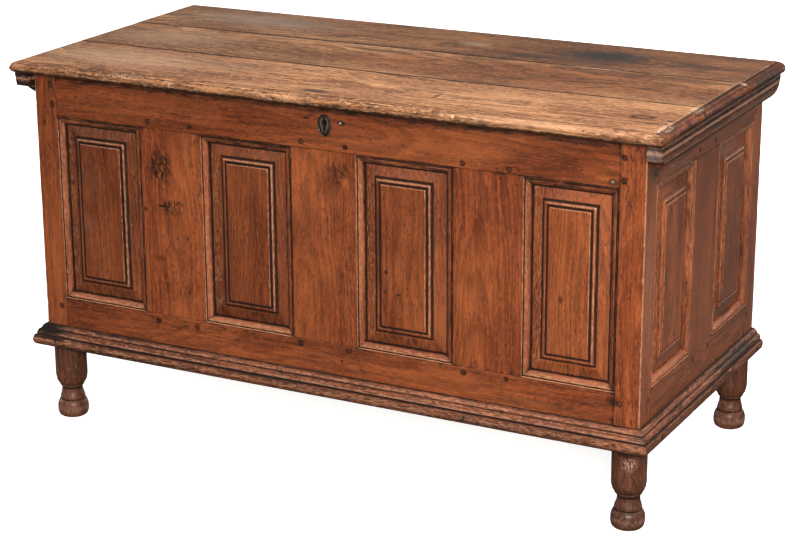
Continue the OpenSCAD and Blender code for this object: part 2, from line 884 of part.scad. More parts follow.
module leaf_nails(hole = false) {
    at_hinges()
        for (p = [[-1, 0.3], [1, 0.5], [-1, 0.7], [1, 0.9]])
            translate([p[0] * hinge_w / 3.8, back_y + strap_t + 0.6, axis_z - p[1] * leaf_room])
                rotate([90, 0, 0])
                    nail(strap_t + 14, hole);
}

module strap_nails(hole = false) {
    at_hinges()
        for (d = [44, 84, strap_l - 26])
            translate([0, back_y - d, lid_z - strap_t - 0.6])
                nail(strap_t + 14, hole);
}

// Lock

lock_z1 = z_top - 4;
lock_z0 = lock_z1 - lock_h;
lock_y0 = front_y + stock_t;
lock_y1 = lock_y0 + lock_d;
plate_z = z_top - 34.5;
bolt_h = 5.6;
bolt_t = 5.6;
bolt_z = lock_z1 - 14;
bolt_y = lock_y0 + lock_d / 2;
nose_r = 2.6;
eye_t = 5;
eye_w = 11;
eye_open = 2 * nose_r + 1.2;
fit = 0.2;

module keyhole(y0, y1, gap = 0) {
    r = key_h / 5;
    translate([lock_x, y1, plate_z])
        rotate([90, 0, 0]) {
            translate([0, key_h / 2 - r, 0])
                cylinder(r = r + gap, h = y1 - y0);
            translate([-r / 2 - gap, -key_h / 2 - gap, 0])
                cube([r + 2 * gap, key_h - r + gap, y1 - y0]);
        }
}

module escutcheon() {
    w = plate_w / 2;
    h = plate_h / 2;
    color(iron)
        difference() {
            translate([lock_x, front_y, plate_z])
                rotate([90, 0, 0])
                    linear_extrude(plate_t)
                        polygon(concat(arc(0, -h + w, w, w, 180, 360, 12), arc(0, h - w, w, w, 0, 70, 5),
                            [[2, h], [0, h - 1.6], [-2, h]], arc(0, h - w, w, w, 110, 180, 5)));
            keyhole(front_y - plate_t - 1, front_y + 1);
            on_front() plate_nails(true);
        }
}

module plate_nails(hole = false) {
    for (z = [plate_z + plate_h / 2 - 7, plate_z - plate_h / 2 + 6])
        translate([lock_x, -plate_t - 0.5, z])
            rotate([-90, 0, 0])
                scale(0.5)
                    nail(26, hole);
}

// Open-backed iron box against the rail's inner face, with two guides for the bolt
module lock_case() {
    x0 = lock_x - lock_w / 2;
    x1 = lock_x + lock_w / 2;
    g = lock_wall;
    color(iron)
        difference() {
            union() {
                difference() {
                    box(x0, x1, lock_y0, lock_y1, lock_z0, lock_z1);
                    box(x0 + g, x1 - g, lock_y0 - 1, lock_y1 - g, lock_z0 + g, lock_z1 - g);
                }
                for (x = [lock_x + 14, lock_x + 30])
                    box(x, x + 4, lock_y0, lock_y1 - g + eps, bolt_z - 12, lock_z1 - g + eps);
                box(x0 - 12, x1 + 12, lock_y0, lock_y0 + g, bolt_z - 20, bolt_z + 6);
            }
            box(x0 + g, x1 - g, lock_y0 - 1, lock_y0 + g + eps, bolt_z - 21, bolt_z + 7);
            box(lock_x + 10, lock_x + 38, bolt_y - bolt_t / 2 - fit, bolt_y + bolt_t / 2 + fit,
                bolt_z - bolt_h / 2 - fit, bolt_z + bolt_h / 2 + fit);
            box(lock_x - eye_t / 2 - 1.5, lock_x + eye_t / 2 + 1.5, bolt_y - eye_w / 2 - 1.5,
                bolt_y + eye_w / 2 + 0.4, lock_z1 - g - 1, lock_z1 + 1);
            lock_nails(true);
        }
}

module lock_nails(hole = false) {
    for (s = [-1, 1])
        translate([lock_x + s * (lock_w / 2 + 6), lock_y0 + lock_wall + 0.6, bolt_z - 7])
            rotate([90, 0, 0])
                nail(lock_wall + 14, hole);
}

module lock_bolt() {
    x0 = lock_x + eye_t / 2 + 1;
    color(iron)
        difference() {
            union() {
                translate([x0, bolt_y, bolt_z])
                    rotate([0, 90, 0])
                        cylinder(r = nose_r, h = 12);
                box(x0 + bolt_throw, lock_x + lock_w / 2 - lock_wall - 1.5, bolt_y - bolt_t / 2, bolt_y + bolt_t / 2,
                    bolt_z - bolt_h / 2, bolt_z + bolt_h / 2);
            }
            box(lock_x + 21, lock_x + 27, bolt_y - bolt_t, bolt_y + bolt_t, bolt_z - bolt_h, bolt_z - bolt_h / 5);
        }
}

module lock_staple() {
    z1 = lid_z;
    color(iron)
        difference() {
            union() {
                box(lock_x - 24, lock_x + 24, bolt_y - 6, bolt_y + 6, z1 - 2.5, z1);
                box(lock_x - eye_t / 2, lock_x + eye_t / 2, bolt_y - eye_w / 2, bolt_y + eye_w / 2,
                    bolt_z - 6, z1 - 2);
            }
            box(lock_x - eye_t, lock_x + eye_t, bolt_y - eye_open / 2, bolt_y + eye_open / 2,
                bolt_z - eye_open / 2, bolt_z + eye_open / 2);
            staple_nails(true);
        }
}

module staple_nails(hole = false) {
    for (s = [-1, 1])
        translate([lock_x + s * 17, bolt_y, lid_z - 3])
            nail(16, hole);
}

module hardware_nails() {
    color(iron) {
        leaf_nails();
        lock_nails();
        on_front() plate_nails();
    }
}

module frame_pegs() {
    color(walnut_dark) {
        on_front() pegs(front_pegs);
        on_back() pegs(back_pegs);
        on_left() pegs(end_pegs);
        on_right() pegs(end_pegs);
    }
}

front_left_post();
front_right_post();
rear_left_post();
rear_right_post();
front_top_rail();
front_bottom_rail();
front_left_muntin();
front_middle_muntin();
front_right_muntin();
front_panel_1();
front_panel_2();
front_panel_3();
front_panel_4();
front_moulding_1();
front_moulding_2();
front_moulding_3();
front_moulding_4();
left_top_rail();
left_bottom_rail();
left_muntin();
left_front_panel();
left_rear_panel();
left_front_moulding();
left_rear_moulding();
right_top_rail();
right_bottom_rail();
right_muntin();
right_front_panel();
right_rear_panel();
right_front_moulding();
right_rear_moulding();
back_top_rail();
back_bottom_rail();
back_muntins();
back_panels();
bottom_boards();
base_moulding_front();
base_moulding_left();
base_moulding_right();
front_left_foot();
front_right_foot();
rear_left_foot();
rear_right_foot();
lid_front_board();
lid_middle_board();
lid_rear_board();
left_cleat();
right_cleat();
hinge_leaves();
hinge_straps();
hinge_pins();
escutcheon();
lock_case();
lock_bolt();
lock_staple();
frame_pegs();
base_nails();
lid_nails();
hardware_nails();
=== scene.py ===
# Paneled chest with a three-board lid on turned feet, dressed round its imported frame.
# Metres, Z up, the front faces -Y, the floor is z = 0.
import bpy
import bmesh
import math
import random
import numpy as np
from functools import reduce
from mathutils import Matrix, Vector, noise


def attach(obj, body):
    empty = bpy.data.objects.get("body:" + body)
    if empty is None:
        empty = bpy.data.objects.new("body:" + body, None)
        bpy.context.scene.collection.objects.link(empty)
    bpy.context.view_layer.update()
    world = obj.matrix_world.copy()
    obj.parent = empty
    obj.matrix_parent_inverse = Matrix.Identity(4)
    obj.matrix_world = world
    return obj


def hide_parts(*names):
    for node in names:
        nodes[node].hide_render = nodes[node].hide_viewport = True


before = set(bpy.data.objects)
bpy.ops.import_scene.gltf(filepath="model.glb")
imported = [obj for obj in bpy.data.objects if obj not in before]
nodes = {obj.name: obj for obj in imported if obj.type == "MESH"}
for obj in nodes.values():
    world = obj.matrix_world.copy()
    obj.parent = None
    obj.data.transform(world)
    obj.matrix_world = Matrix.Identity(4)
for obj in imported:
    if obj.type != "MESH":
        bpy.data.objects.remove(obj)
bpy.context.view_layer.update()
print("frame loaded:", len(nodes), "nodes")

# Node helpers


def paint(code):
    # a linear colour from a hex code
    parts = [int(code[i:i + 2], 16) / 255 for i in (1, 3, 5)]
    return [c / 12.92 if c <= 0.04045 else ((c + 0.055) / 1.055) ** 2.4 for c in parts] + [1.0]


def setInputs(tree, inputs, wires):
    # each input linked to a socket or set to a plain value
    for key, value in wires.items():
        if isinstance(value, bpy.types.NodeSocket):
            tree.links.new(value, inputs[key])
        else:
            inputs[key].default_value = value


def addNode(tree, kind, wires=None, **settings):
    n = tree.nodes.new(kind)
    for key, value in settings.items():
        setattr(n, key, value)
    setInputs(tree, n.inputs, wires or {})
    return n


def nodeOut(tree, kind, wires=None, **settings):
    return addNode(tree, kind, wires, **settings).outputs[0]


def calc(tree, operation, *values):
    return nodeOut(tree, "ShaderNodeMath", dict(enumerate(values)), operation=operation)


def times(tree, *values):
    return reduce(lambda total, value: calc(tree, "MULTIPLY", total, value), values)


def plus(tree, *values):
    return reduce(lambda total, value: calc(tree, "ADD", total, value), values)


def vecCalc(tree, operation, *values):
    return addNode(tree, "ShaderNodeVectorMath", dict(enumerate(values)), operation=operation).outputs


def scaled(tree, vector, by):
    return vecCalc(tree, "MULTIPLY", vector, by)[0]


def blur(tree, vector, by, detail=3.0, rough=0.55, warp=0.0, out="Fac"):
    # noise from 0 to 1 on a stretched vector
    wires = {"Vector": scaled(tree, vector, by), "Scale": 1.0, "Detail": detail, "Roughness": rough,
             "Distortion": warp}
    return addNode(tree, "ShaderNodeTexNoise", wires).outputs[out]


def span(tree, value, lo, hi, toLo=0.0, toHi=1.0, smooth=False):
    kind = "SMOOTHSTEP" if smooth else "LINEAR"
    return nodeOut(tree, "ShaderNodeMapRange", {0: value, 1: lo, 2: hi, 3: toLo, 4: toHi}, clamp=True,
                   interpolation_type=kind)


def mixed(tree, factor, a, b, blend="MIX"):
    wires = {0: factor, 6: a, 7: b}
    return addNode(tree, "ShaderNodeMix", wires, data_type="RGBA", blend_type=blend).outputs[2]


def mask(tree, key):
    # a piece's own attribute
    return addNode(tree, "ShaderNodeAttribute", attribute_name=key).outputs


def newMaterial(name):
    # a material with its tree, its shader and the Object coordinates
    material = bpy.data.materials.new(name)
    material.use_nodes = True
    tree = material.node_tree
    place = addNode(tree, "ShaderNodeTexCoord").outputs["Object"]
    return material, tree, tree.nodes["Principled BSDF"].inputs, place


def addObject(name, data):
    made = bpy.data.objects.new(name, data)
    bpy.context.scene.collection.objects.link(made)
    return made


# Camera and lights

viewValues = {
    "place": (1.7975, -3.43165, 1.5425),
    "yaw": 28.658, "pitch": 17.974, "roll": -0.611,   # degrees, pitch is downwards
    "lens": 97.81, "shift": (0.0514, 0.0109),
}


def addCamera(v):
    yaw, pitch, roll = (math.radians(v[k]) for k in ("yaw", "pitch", "roll"))
    ahead = Vector((-math.sin(yaw) * math.cos(pitch), math.cos(yaw) * math.cos(pitch), -math.sin(pitch)))
    right = Vector((math.cos(yaw), math.sin(yaw), 0))
    up = right.cross(ahead)
    turnedRight = math.cos(roll) * right + math.sin(roll) * up
    turnedUp = math.cos(roll) * up - math.sin(roll) * right
    data = bpy.data.cameras.new("camera")
    data.sensor_width, data.lens = 36, v["lens"]
    data.shift_x, data.shift_y = v["shift"]
    camera = addObject("camera", data)
    turn = Matrix((turnedRight, turnedUp, -ahead)).transposed().to_4x4()
    camera.matrix_world = Matrix.Translation(v["place"]) @ turn
    bpy.context.scene.camera = camera


# Brightness of the surroundings: on the viewer's side, behind the chest, and added from above
roomValues = {"front": 0.26, "behind": 0.24, "over": 0.25}
lampValues = {
    # name: (place, aim, width, height, watts, colour)
    "key": ((2.3, -3.8, 1.95), (0, 0, 0.4), 1.4, 1.2, 265, "#fff3e6"),
    "top": ((1.0, -0.28, 2.7), (0.1, 0, 0.7), 1.6, 0.8, 72, "#fff6ec"),
    "rim": ((3.2, 1.2, 2.4), (0.2, 0, 0.4), 1.0, 1.0, 12, "#f1f5ff"),
    # two fills below the lid's top for the back and the left end
    "back": ((0.2, 3.9, 0.42), (0, 0.3, 0.4), 1.8, 0.6, 52, "#fff6ec"),
    "left": ((-3.9, 0.2, 0.42), (-0.6, 0, 0.4), 1.4, 0.6, 40, "#fff6ec"),
}


def addRoom(v):
    world = bpy.data.worlds.new("studio")
    world.use_nodes = True
    tree = world.node_tree
    tree.nodes.clear()
    way = addNode(tree, "ShaderNodeTexCoord").outputs["Generated"]
    way = addNode(tree, "ShaderNodeSeparateXYZ", {0: way}).outputs
    light = span(tree, way[1], -0.3, 0.8, v["front"], v["behind"], True)
    light = plus(tree, light, span(tree, way[2], 0.3, 1.0, 0.0, v["over"]))
    seen = addNode(tree, "ShaderNodeLightPath").outputs["Is Camera Ray"]
    around = nodeOut(tree, "ShaderNodeBackground", {"Color": paint("#ffffff"), "Strength": light})
    plain = nodeOut(tree, "ShaderNodeBackground", {"Color": paint("#ffffff"), "Strength": 1.0})
    both = nodeOut(tree, "ShaderNodeMixShader", {0: seen, 1: around, 2: plain})
    addNode(tree, "ShaderNodeOutputWorld", {"Surface": both})
    bpy.context.scene.world = world


def addLamp(name, place, aim, wide, high, watts, tint):
    data = bpy.data.lights.new(name, "AREA")
    data.shape, data.size, data.size_y = "RECTANGLE", wide, high
    data.energy, data.color = watts, paint(tint)[:3]
    lamp = addObject(name, data)
    lamp.location = place
    lamp.rotation_euler = (Vector(aim) - Vector(place)).to_track_quat("-Z", "Y").to_euler()


addCamera(viewValues)
addRoom(roomValues)
for name, values in lampValues.items():
    addLamp(name, *values)
bpy.context.scene.view_settings.view_transform = "Standard"
print("camera and lights placed")

# Shared effects


def makeGroup(name, inputs, outputs):
    # a shader node group, the outputs of its input node and the inputs of its output node
    tree = bpy.data.node_groups.new(name, "ShaderNodeTree")
    kinds = {"value": "NodeSocketFloat", "vector": "NodeSocketVector", "colour": "NodeSocketColor"}
    for side, sockets in (("INPUT", inputs), ("OUTPUT", outputs)):
        for key, kind, *start in sockets:
            socket = tree.interface.new_socket(key, in_out=side, socket_type=kinds[kind])
            if start:
                socket.default_value = start[0]
    return tree, tree.nodes.new("NodeGroupInput").outputs, tree.nodes.new("NodeGroupOutput").inputs


def useGroup(tree, group, wires):
    return addNode(tree, "ShaderNodeGroup", wires, node_tree=group).outputs


def grainGroup():
    # growth rings round a distant heart, streaks, fibres, pores, cracks and cloudy tone
    tree, given, out = makeGroup(
        "wood figure",
        [("Grain", "vector"), ("Ring Width", "value", 0.005), ("Wander", "value", 1.0)],
        [(key, "value") for key in ("Ring", "Streak", "Fibre", "Pore", "Pale", "Crack", "Cloud")])
    grain = given["Grain"]
    drift = blur(tree, grain, (1.9, 7.0, 7.0), 3.0, 0.5, out="Color")
    centred = vecCalc(tree, "ADD", drift, (-0.5, -0.5, -0.5))[0]
    swing = scaled(tree, scaled(tree, centred, (0.0, 0.05, 0.05)), given["Wander"])
    bent = vecCalc(tree, "ADD", grain, swing)[0]
    # rings
    parts = addNode(tree, "ShaderNodeSeparateXYZ", {0: bent}).outputs
    radius = calc(tree, "SQRT", plus(tree, times(tree, parts[1], parts[1]), times(tree, parts[2], parts[2])))
    radius = plus(tree, radius, times(tree, parts[0], 0.02))
    turns = calc(tree, "DIVIDE", radius, given["Ring Width"])
    turns = plus(tree, turns, times(tree, blur(tree, bent, (6, 60, 60), 2.0), 0.9))
    phase = calc(tree, "FRACT", turns)
    late = times(tree, span(tree, phase, 0.2, 0.86, 0.0, 1.0, True),
                 span(tree, phase, 0.88, 1.0, 1.0, 0.0, True))
    # soft streaks, fine fibres, dark pores and pale flecks, all long with the grain
    streak = span(tree, blur(tree, bent, (5.0, 170.0, 170.0), 4.0, 0.65), 0.34, 0.66)
    curl = blur(tree, grain, (120.0, 330.0, 330.0), 3.0, 0.7)
    fibre = times(tree, plus(tree, blur(tree, grain, (24.0, 560.0, 560.0), 2.0, 0.6), curl), 0.5)
    where = span(tree, blur(tree, bent, (4, 34, 34), 3.0), 0.36, 0.62)
    pore = times(tree, span(tree, blur(tree, grain, (85.0, 400.0, 400.0), 2.0, 0.6), 0.56, 0.63), where)
    aside = vecCalc(tree, "ADD", grain, (3.0, 1.0, 2.0))[0]
    pale = span(tree, blur(tree, aside, (85.0, 360.0, 360.0), 2.0, 0.6), 0.56, 0.66)
    # a crack is where a very long noise crosses its middle
    edge = calc(tree, "ABSOLUTE", plus(tree, blur(tree, bent, (3.0, 130.0, 130.0), 3.0, 0.55), -0.47))
    split = span(tree, blur(tree, aside, (6, 30, 30), 2.0), 0.48, 0.62)
    crack = times(tree, span(tree, edge, 0.0, 0.02, 1.0, 0.0), split)
    cloud = blur(tree, grain, (3.0, 11.0, 11.0), 4.0, 0.6, 0.4)
    setInputs(tree, out, {"Ring": late, "Streak": streak, "Fibre": fibre, "Pore": pore, "Pale": pale,
                          "Crack": crack, "Cloud": cloud})
    return tree


def wearAndLightGroup():
    # rubbed arrises and painted highlights, dirt in the quirks and painted shade, and small knocks, from the
    # piece's own masks
    tree, given, out = makeGroup(
        "rubbed and dirty, lit and shaded",
        [("Colour", "colour"), ("Place", "vector"), ("Grain", "vector"), ("Wear And Highlight", "value"),
         ("Grime And Shade", "value"), ("Rubbed And Lit", "colour"), ("Dirt And Shade", "colour"), ("Wear And Highlight Amount", "value", 1.0),
         ("Grime And Shade Amount", "value", 1.0), ("Knocks", "value", 0.3)],
        [("Colour", "colour"), ("Worn And Lit", "value"), ("Dirty And Shaded", "value"), ("Knock", "value")])
    place = given["Place"]
    rubs = blur(tree, given["Grain"], (95, 400, 400), 5.0, 0.7)
    wornAndLit = plus(tree, given["Wear And Highlight"], span(tree, rubs, 0.3, 0.7, -0.55, 0.4))
    wornAndLit = times(tree, span(tree, wornAndLit, 0.3, 0.8, 0, 1, True), given["Wear And Highlight Amount"])
    patch = blur(tree, given["Grain"], (35, 120, 120), 4.0, 0.65)
    dirty = plus(tree, given["Grime And Shade"], span(tree, patch, 0.3, 0.7, -0.3, 0.25))
    dirty = times(tree, span(tree, dirty, 0.22, 0.85, 0, 1, True), given["Grime And Shade Amount"])
    pits = addNode(tree, "ShaderNodeTexVoronoi", {"Vector": place, "Scale": 80.0, "Randomness": 1.0}).outputs
    few = nodeOut(tree, "ShaderNodeSeparateColor", {0: pits["Color"]})
    knock = times(tree, span(tree, pits["Distance"], 0.1, 0.24, 1, 0, True), span(tree, few, 0.88, 0.91),
                  given["Knocks"])
    colour = mixed(tree, wornAndLit, given["Colour"], given["Rubbed And Lit"])
    colour = mixed(tree, dirty, colour, given["Dirt And Shade"])
    colour = mixed(tree, knock, colour, given["Dirt And Shade"])
    setInputs(tree, out, {"Colour": colour, "Worn And Lit": wornAndLit, "Dirty And Shaded": dirty, "Knock": knock})
    return tree


def spotGroup():
    # a soft-edged, ragged patch at a place, whole or broken into dashes
    tree, given, out = makeGroup(
        "patch",
        [("Place", "vector"), ("Centre", "vector"), ("Size", "vector", (0.02, 0.02, 0.02)),
         ("Ragged", "value", 0.4), ("Soft", "value", 0.5), ("Rag", "value"), ("Dash", "value"),
         ("Dashed", "value")],
        [("Mask", "value")])
    off = vecCalc(tree, "SUBTRACT", given["Place"], given["Centre"])[0]
    far = vecCalc(tree, "LENGTH", vecCalc(tree, "DIVIDE", off, given["Size"])[0])["Value"]
    far = plus(tree, far, times(tree, plus(tree, given["Rag"], -0.5), given["Ragged"]))
    near = span(tree, far, calc(tree, "SUBTRACT", 1.0, given["Soft"]), 1.0, 1.0, 0.0, True)
    broken = plus(tree, 1.0, times(tree, given["Dashed"], plus(tree, given["Dash"], -1.0)))
    tree.links.new(times(tree, near, broken), out["Mask"])
    return tree


woodFigure = grainGroup()
rubbedDirtyLitShaded = wearAndLightGroup()
patchMask = spotGroup()

# Finishes


def woodFinish(name, look, spots=(), washes=()):
    # spots are patches laid over the figure, as (centre, size, colour, strength, ragged, soft), and 1.0 after
    # these breaks one into dashes; washes are such patches that the figure is multiplied by
    material, tree, shader, place = newMaterial(name)
    grain, wearAndHighlight, grimeAndShade, tone = (mask(tree, key) for key in ("grain", "wearAndHighlight", "grimeAndShade", "tone"))
    figure = useGroup(tree, woodFigure, {"Grain": grain["Vector"], "Ring Width": look["ring"],
                                         "Wander": look["wander"]})
    colour = mixed(tree, figure["Streak"], paint(look["dark"]), paint(look["mid"]))
    colour = mixed(tree, times(tree, span(tree, figure["Cloud"], 0.42, 0.7), look["cloud"]), colour,
                   paint(look["light"]))
    patina = span(tree, blur(tree, place, (9, 9, 9), 5.0, 0.62, 0.6), 0.5, 0.7)
    colour = mixed(tree, times(tree, patina, look["patina"]), colour, paint(look["dark"]))
    for key in ("Ring", "Pore", "Crack"):
        colour = mixed(tree, times(tree, figure[key], look[key]), colour, paint(look["deep"]))
    colour = mixed(tree, times(tree, figure["Pale"], look["Pale"]), colour, paint(look["light"]))
    shade = times(tree, plus(tree, times(tree, tone["Fac"], 0.3), 1.0),
                  span(tree, figure["Fibre"], 0.3, 0.7, 1 - look["fibre"], 1 + look["fibre"]))
    colour = nodeOut(tree, "ShaderNodeVectorMath", {0: colour, "Scale": shade}, operation="SCALE")
    # patches
    if spots or washes:
        rag = blur(tree, place, (70, 70, 70), 4.0, 0.65)
        slant = nodeOut(tree, "ShaderNodeMapping", {"Vector": place, "Rotation": (0.0, 0.3, 0.0)})
        dash = span(tree, blur(tree, slant, (330, 330, 130), 2.0, 0.6), 0.49, 0.53)
    patches = [(wash, "MULTIPLY") for wash in washes] + [(spot, "MIX") for spot in spots]
    for (centre, size, tint, strength, ragged, soft, *dashed), blend in patches:
        patch = useGroup(tree, patchMask, {
            "Place": place, "Centre": centre, "Size": size, "Ragged": ragged, "Soft": soft, "Rag": rag,
            "Dash": dash, "Dashed": dashed[0] if dashed else 0.0})
        colour = mixed(tree, times(tree, patch["Mask"], strength), colour, paint(tint), blend)
    wornAndLit = useGroup(tree, rubbedDirtyLitShaded, {
        "Colour": colour, "Place": place, "Grain": grain["Vector"], "Wear And Highlight": wearAndHighlight["Fac"],
        "Grime And Shade": grimeAndShade["Fac"], "Rubbed And Lit": paint(look["rubbed"]), "Dirt And Shade": paint(look["dirt"]),
        "Wear And Highlight Amount": look["wearAndHighlight"], "Grime And Shade Amount": look["grimeAndShade"], "Knocks": look["knocks"]})
    rough = plus(tree, span(tree, figure["Cloud"], 0.3, 0.7, look["rough"] - 0.05, look["rough"] + 0.07),
                 times(tree, wornAndLit["Dirty And Shaded"], 0.35), times(tree, figure["Pore"], 0.15))
    height = plus(tree, times(tree, figure["Pore"], -0.7), times(tree, figure["Fibre"], 0.5),
                  times(tree, figure["Streak"], 0.4), times(tree, figure["Crack"], -1.2),
                  times(tree, wornAndLit["Knock"], -1.5),
                  times(tree, blur(tree, place, (22, 22, 22), 2.0), look["wavy"]))
    bump = nodeOut(tree, "ShaderNodeBump", {"Strength": look["bump"], "Distance": 0.0005, "Height": height})
    coat = times(tree, calc(tree, "SUBTRACT", 1.0, wornAndLit["Dirty And Shaded"]), look["coat"])
    setInputs(tree, shader, {"Base Color": wornAndLit["Colour"], "Roughness": rough, "Normal": bump, "IOR": 1.36,
                             "Coat Weight": coat, "Coat Roughness": look["coatRough"]})
    return material


def onFront(x, z, wide, high, *rest):
    return ((x, -0.28, z), (wide, 0.03, high), *rest)


def onTop(x, y, long, wide, *rest):
    return ((x, y, 0.7), (long, wide, 0.03), *rest)


caseLook = {
    "dark": "#5c2a15", "mid": "#8e4826", "light": "#a75e33", "deep": "#2a130b", "rubbed": "#b58768",
    "dirt": "#140a06", "ring": 0.0042, "wander": 0.9, "cloud": 0.75, "Ring": 0.32, "Pore": 0.75,
    "Pale": 0.42, "Crack": 0.25, "fibre": 0.3, "patina": 0.45, "wearAndHighlight": 0.8, "grimeAndShade": 0.96, "knocks": 0.5,
    "rough": 0.4, "bump": 0.6, "wavy": 2.0, "coat": 0.8, "coatRough": 0.28,
}
mouldLook = dict(caseLook, mid="#96502f", light="#ad6a45", Ring=0.2, wearAndHighlight=0.85, patina=0.3)
baseLook = dict(caseLook, dark="#32170d", mid="#7c4329", light="#9f6244", deep="#150b07", Ring=0.5, Crack=1.0,
                Pore=1.0, Pale=0.85, rubbed="#c2937a", wearAndHighlight=0.55, rough=0.46, bump=1.2, fibre=0.5, coat=0.3)
lidLook = {
    "dark": "#5f3c27", "mid": "#9a6946", "light": "#b98c64", "deep": "#2b180f", "rubbed": "#bd9170",
    "dirt": "#160c07", "ring": 0.0065, "wander": 1.4, "cloud": 0.8, "Ring": 0.55, "Pore": 1.0, "Pale": 0.65,
    "Crack": 1.0, "fibre": 0.38, "patina": 0.55, "wearAndHighlight": 0.6, "grimeAndShade": 0.94, "knocks": 0.6, "rough": 0.47,
    "bump": 0.8, "wavy": 2.0, "coat": 0.06, "coatRough": 0.4,
}
footLook = dict(caseLook, dark="#26150e", mid="#5b3526", light="#84533f", deep="#120a08", Ring=0.35,
                fibre=0.42, patina=0.75, rubbed="#8a7064", rough=0.46, coat=0.12)
footSpots = [
    ((0.585, -0.279, 0.122), (0.020, 0.020, 0.014), "#b08a78", 0.75, 0.9, 0.6, 1.0),
    ((0.578, -0.281, 0.143), (0.024, 0.020, 0.012), "#140c09", 0.7, 1.2, 0.7),
]
rawLook = dict(caseLook, dark="#6b4a2f", mid="#8a643f", light="#9d7850", deep="#432b1b", Ring=0.35,
               rough=0.75, coat=0.0, rubbed="#a58763", wavy=3.0)
pegLook = dict(caseLook, dark="#2f170e", mid="#5a2d1b", light="#6b3a24", Ring=0.1, rough=0.6, coat=0.05)

# Marks on the case: dark flecks, stains, knots and nail holes, with painted shade under the lid and a painted
# sheen on the right end
nearBlack, stainBrown, warmKnot = "#1a0f0b", "#3d1d10", "#a8622f"
caseSpots = [
    # flecks on the left muntin
    onFront(-0.330, 0.530, 0.034, 0.052, nearBlack, 0.95, 0.9, 0.6, 1.0),
    onFront(-0.337, 0.552, 0.012, 0.012, stainBrown, 0.7, 0.9, 0.8),
    onFront(-0.306, 0.455, 0.036, 0.020, nearBlack, 0.9, 0.9, 0.6, 1.0),
    onFront(-0.326, 0.456, 0.020, 0.003, nearBlack, 0.8, 0.7, 0.6),
    onFront(-0.365, 0.446, 0.006, 0.005, nearBlack, 0.8, 0.5, 0.6),
    onFront(-0.338, 0.356, 0.022, 0.010, stainBrown, 0.6, 0.9, 0.8),
    onFront(-0.300, 0.300, 0.035, 0.030, nearBlack, 0.6, 0.9, 0.8, 1.0),
    # warm and dark mottling on the middle muntin
    onFront(0.040, 0.558, 0.034, 0.030, nearBlack, 0.75, 0.9, 0.7, 1.0),
    onFront(0.020, 0.545, 0.040, 0.040, stainBrown, 0.5, 0.9, 0.9),
    onFront(0.050, 0.545, 0.013, 0.016, warmKnot, 0.6, 0.8, 0.9),
    # single holes
    onFront(-0.216, 0.421, 0.004, 0.004, nearBlack, 0.9, 0.3, 0.5),
    onFront(-0.276, 0.401, 0.003, 0.006, nearBlack, 0.7, 0.3, 0.5),
    onFront(0.128, 0.396, 0.005, 0.005, nearBlack, 0.8, 0.4, 0.5),
    onFront(0.126, 0.360, 0.004, 0.004, nearBlack, 0.8, 0.4, 0.5),
    onFront(0.152, 0.358, 0.007, 0.003, nearBlack, 0.8, 0.6, 0.5),
    onFront(0.454, 0.395, 0.007, 0.009, stainBrown, 0.8, 0.7, 0.7),
    onFront(0.343, 0.590, 0.004, 0.004, nearBlack, 0.7, 0.4, 0.6),
    # bottom rail
    onFront(0.054, 0.240, 0.005, 0.004, nearBlack, 0.9, 0.4, 0.5),
    onFront(0.039, 0.218, 0.004, 0.004, nearBlack, 0.8, 0.4, 0.5),
    onFront(-0.044, 0.241, 0.014, 0.010, stainBrown, 0.7, 0.9, 0.8),
    onFront(0.551, 0.233, 0.018, 0.014, stainBrown, 0.8, 0.8, 0.7),
    onFront(0.551, 0.233, 0.007, 0.006, nearBlack, 0.8, 0.6, 0.7),
    # top rail: beside the escutcheon, and the warm wave by the right post
    onFront(-0.025, 0.653, 0.010, 0.003, nearBlack, 0.8, 0.8, 0.6),
    onFront(0.044, 0.650, 0.010, 0.006, nearBlack, 0.9, 0.6, 0.5),
    onFront(0.042, 0.650, 0.003, 0.003, "#a59b91", 0.9, 0.4, 0.5),
    onFront(0.341, 0.598, 0.018, 0.005, stainBrown, 0.8, 0.8, 0.7),
    onFront(0.530, 0.612, 0.030, 0.006, warmKnot, 0.6, 0.8, 0.8),
    onFront(0.542, 0.608, 0.010, 0.008, stainBrown, 0.8, 0.7, 0.6),
    onFront(0.542, 0.608, 0.0038, 0.003, "#877a72", 0.9, 0.6, 0.6),
    onFront(-0.583, 0.584, 0.005, 0.008, nearBlack, 0.7, 0.5, 0.6),
    # painted shade under the lid and the cleat at the right end
    ((0.602, 0.000, 0.660), (0.010, 0.400, 0.034), "#24130d", 0.6, 0.9, 0.8),
    ((0.602, -0.190, 0.645), (0.010, 0.110, 0.040), "#1d100b", 0.75, 1.2, 0.8),
    ((0.602, -0.243, 0.622), (0.010, 0.042, 0.024), "#1a0f0a", 0.85, 1.5, 0.7),
    # the front right post's face at the end made paler: a painted sheen
    ((0.606, -0.257, 0.430), (0.0085, 0.060, 0.300), "#a3694e", 0.75, 0.5, 0.5),
    # dull patches on the first panel and the pale rubbed spot above it
    ((-0.487, -0.27, 0.476), (0.030, 0.03, 0.050), "#5c3a2c", 0.5, 0.9, 0.9),
    ((-0.496, -0.27, 0.398), (0.025, 0.03, 0.040), "#6a4636", 0.5, 0.9, 0.9),
    onFront(-0.248, 0.630, 0.016, 0.004, "#a06a45", 0.35, 0.9, 0.9),
]
lidWashes = [
    # redder middle board, darker rear board and right end
    onTop(0.270, 0.000, 0.640, 0.120, "#e0cbb8", 1.0, 0.9, 0.6),
    onTop(0.300, 0.205, 0.760, 0.150, "#d6cac4", 1.0, 0.9, 0.5),
    ((0.642, 0.000, 0.69), (0.0235, 2.0, 0.05), "#c79a80", 0.95, 0.15, 0.25),
    ((-0.643, 0.000, 0.69), (0.018, 2.0, 0.05), "#94796a", 0.9, 0.3, 0.4),
]
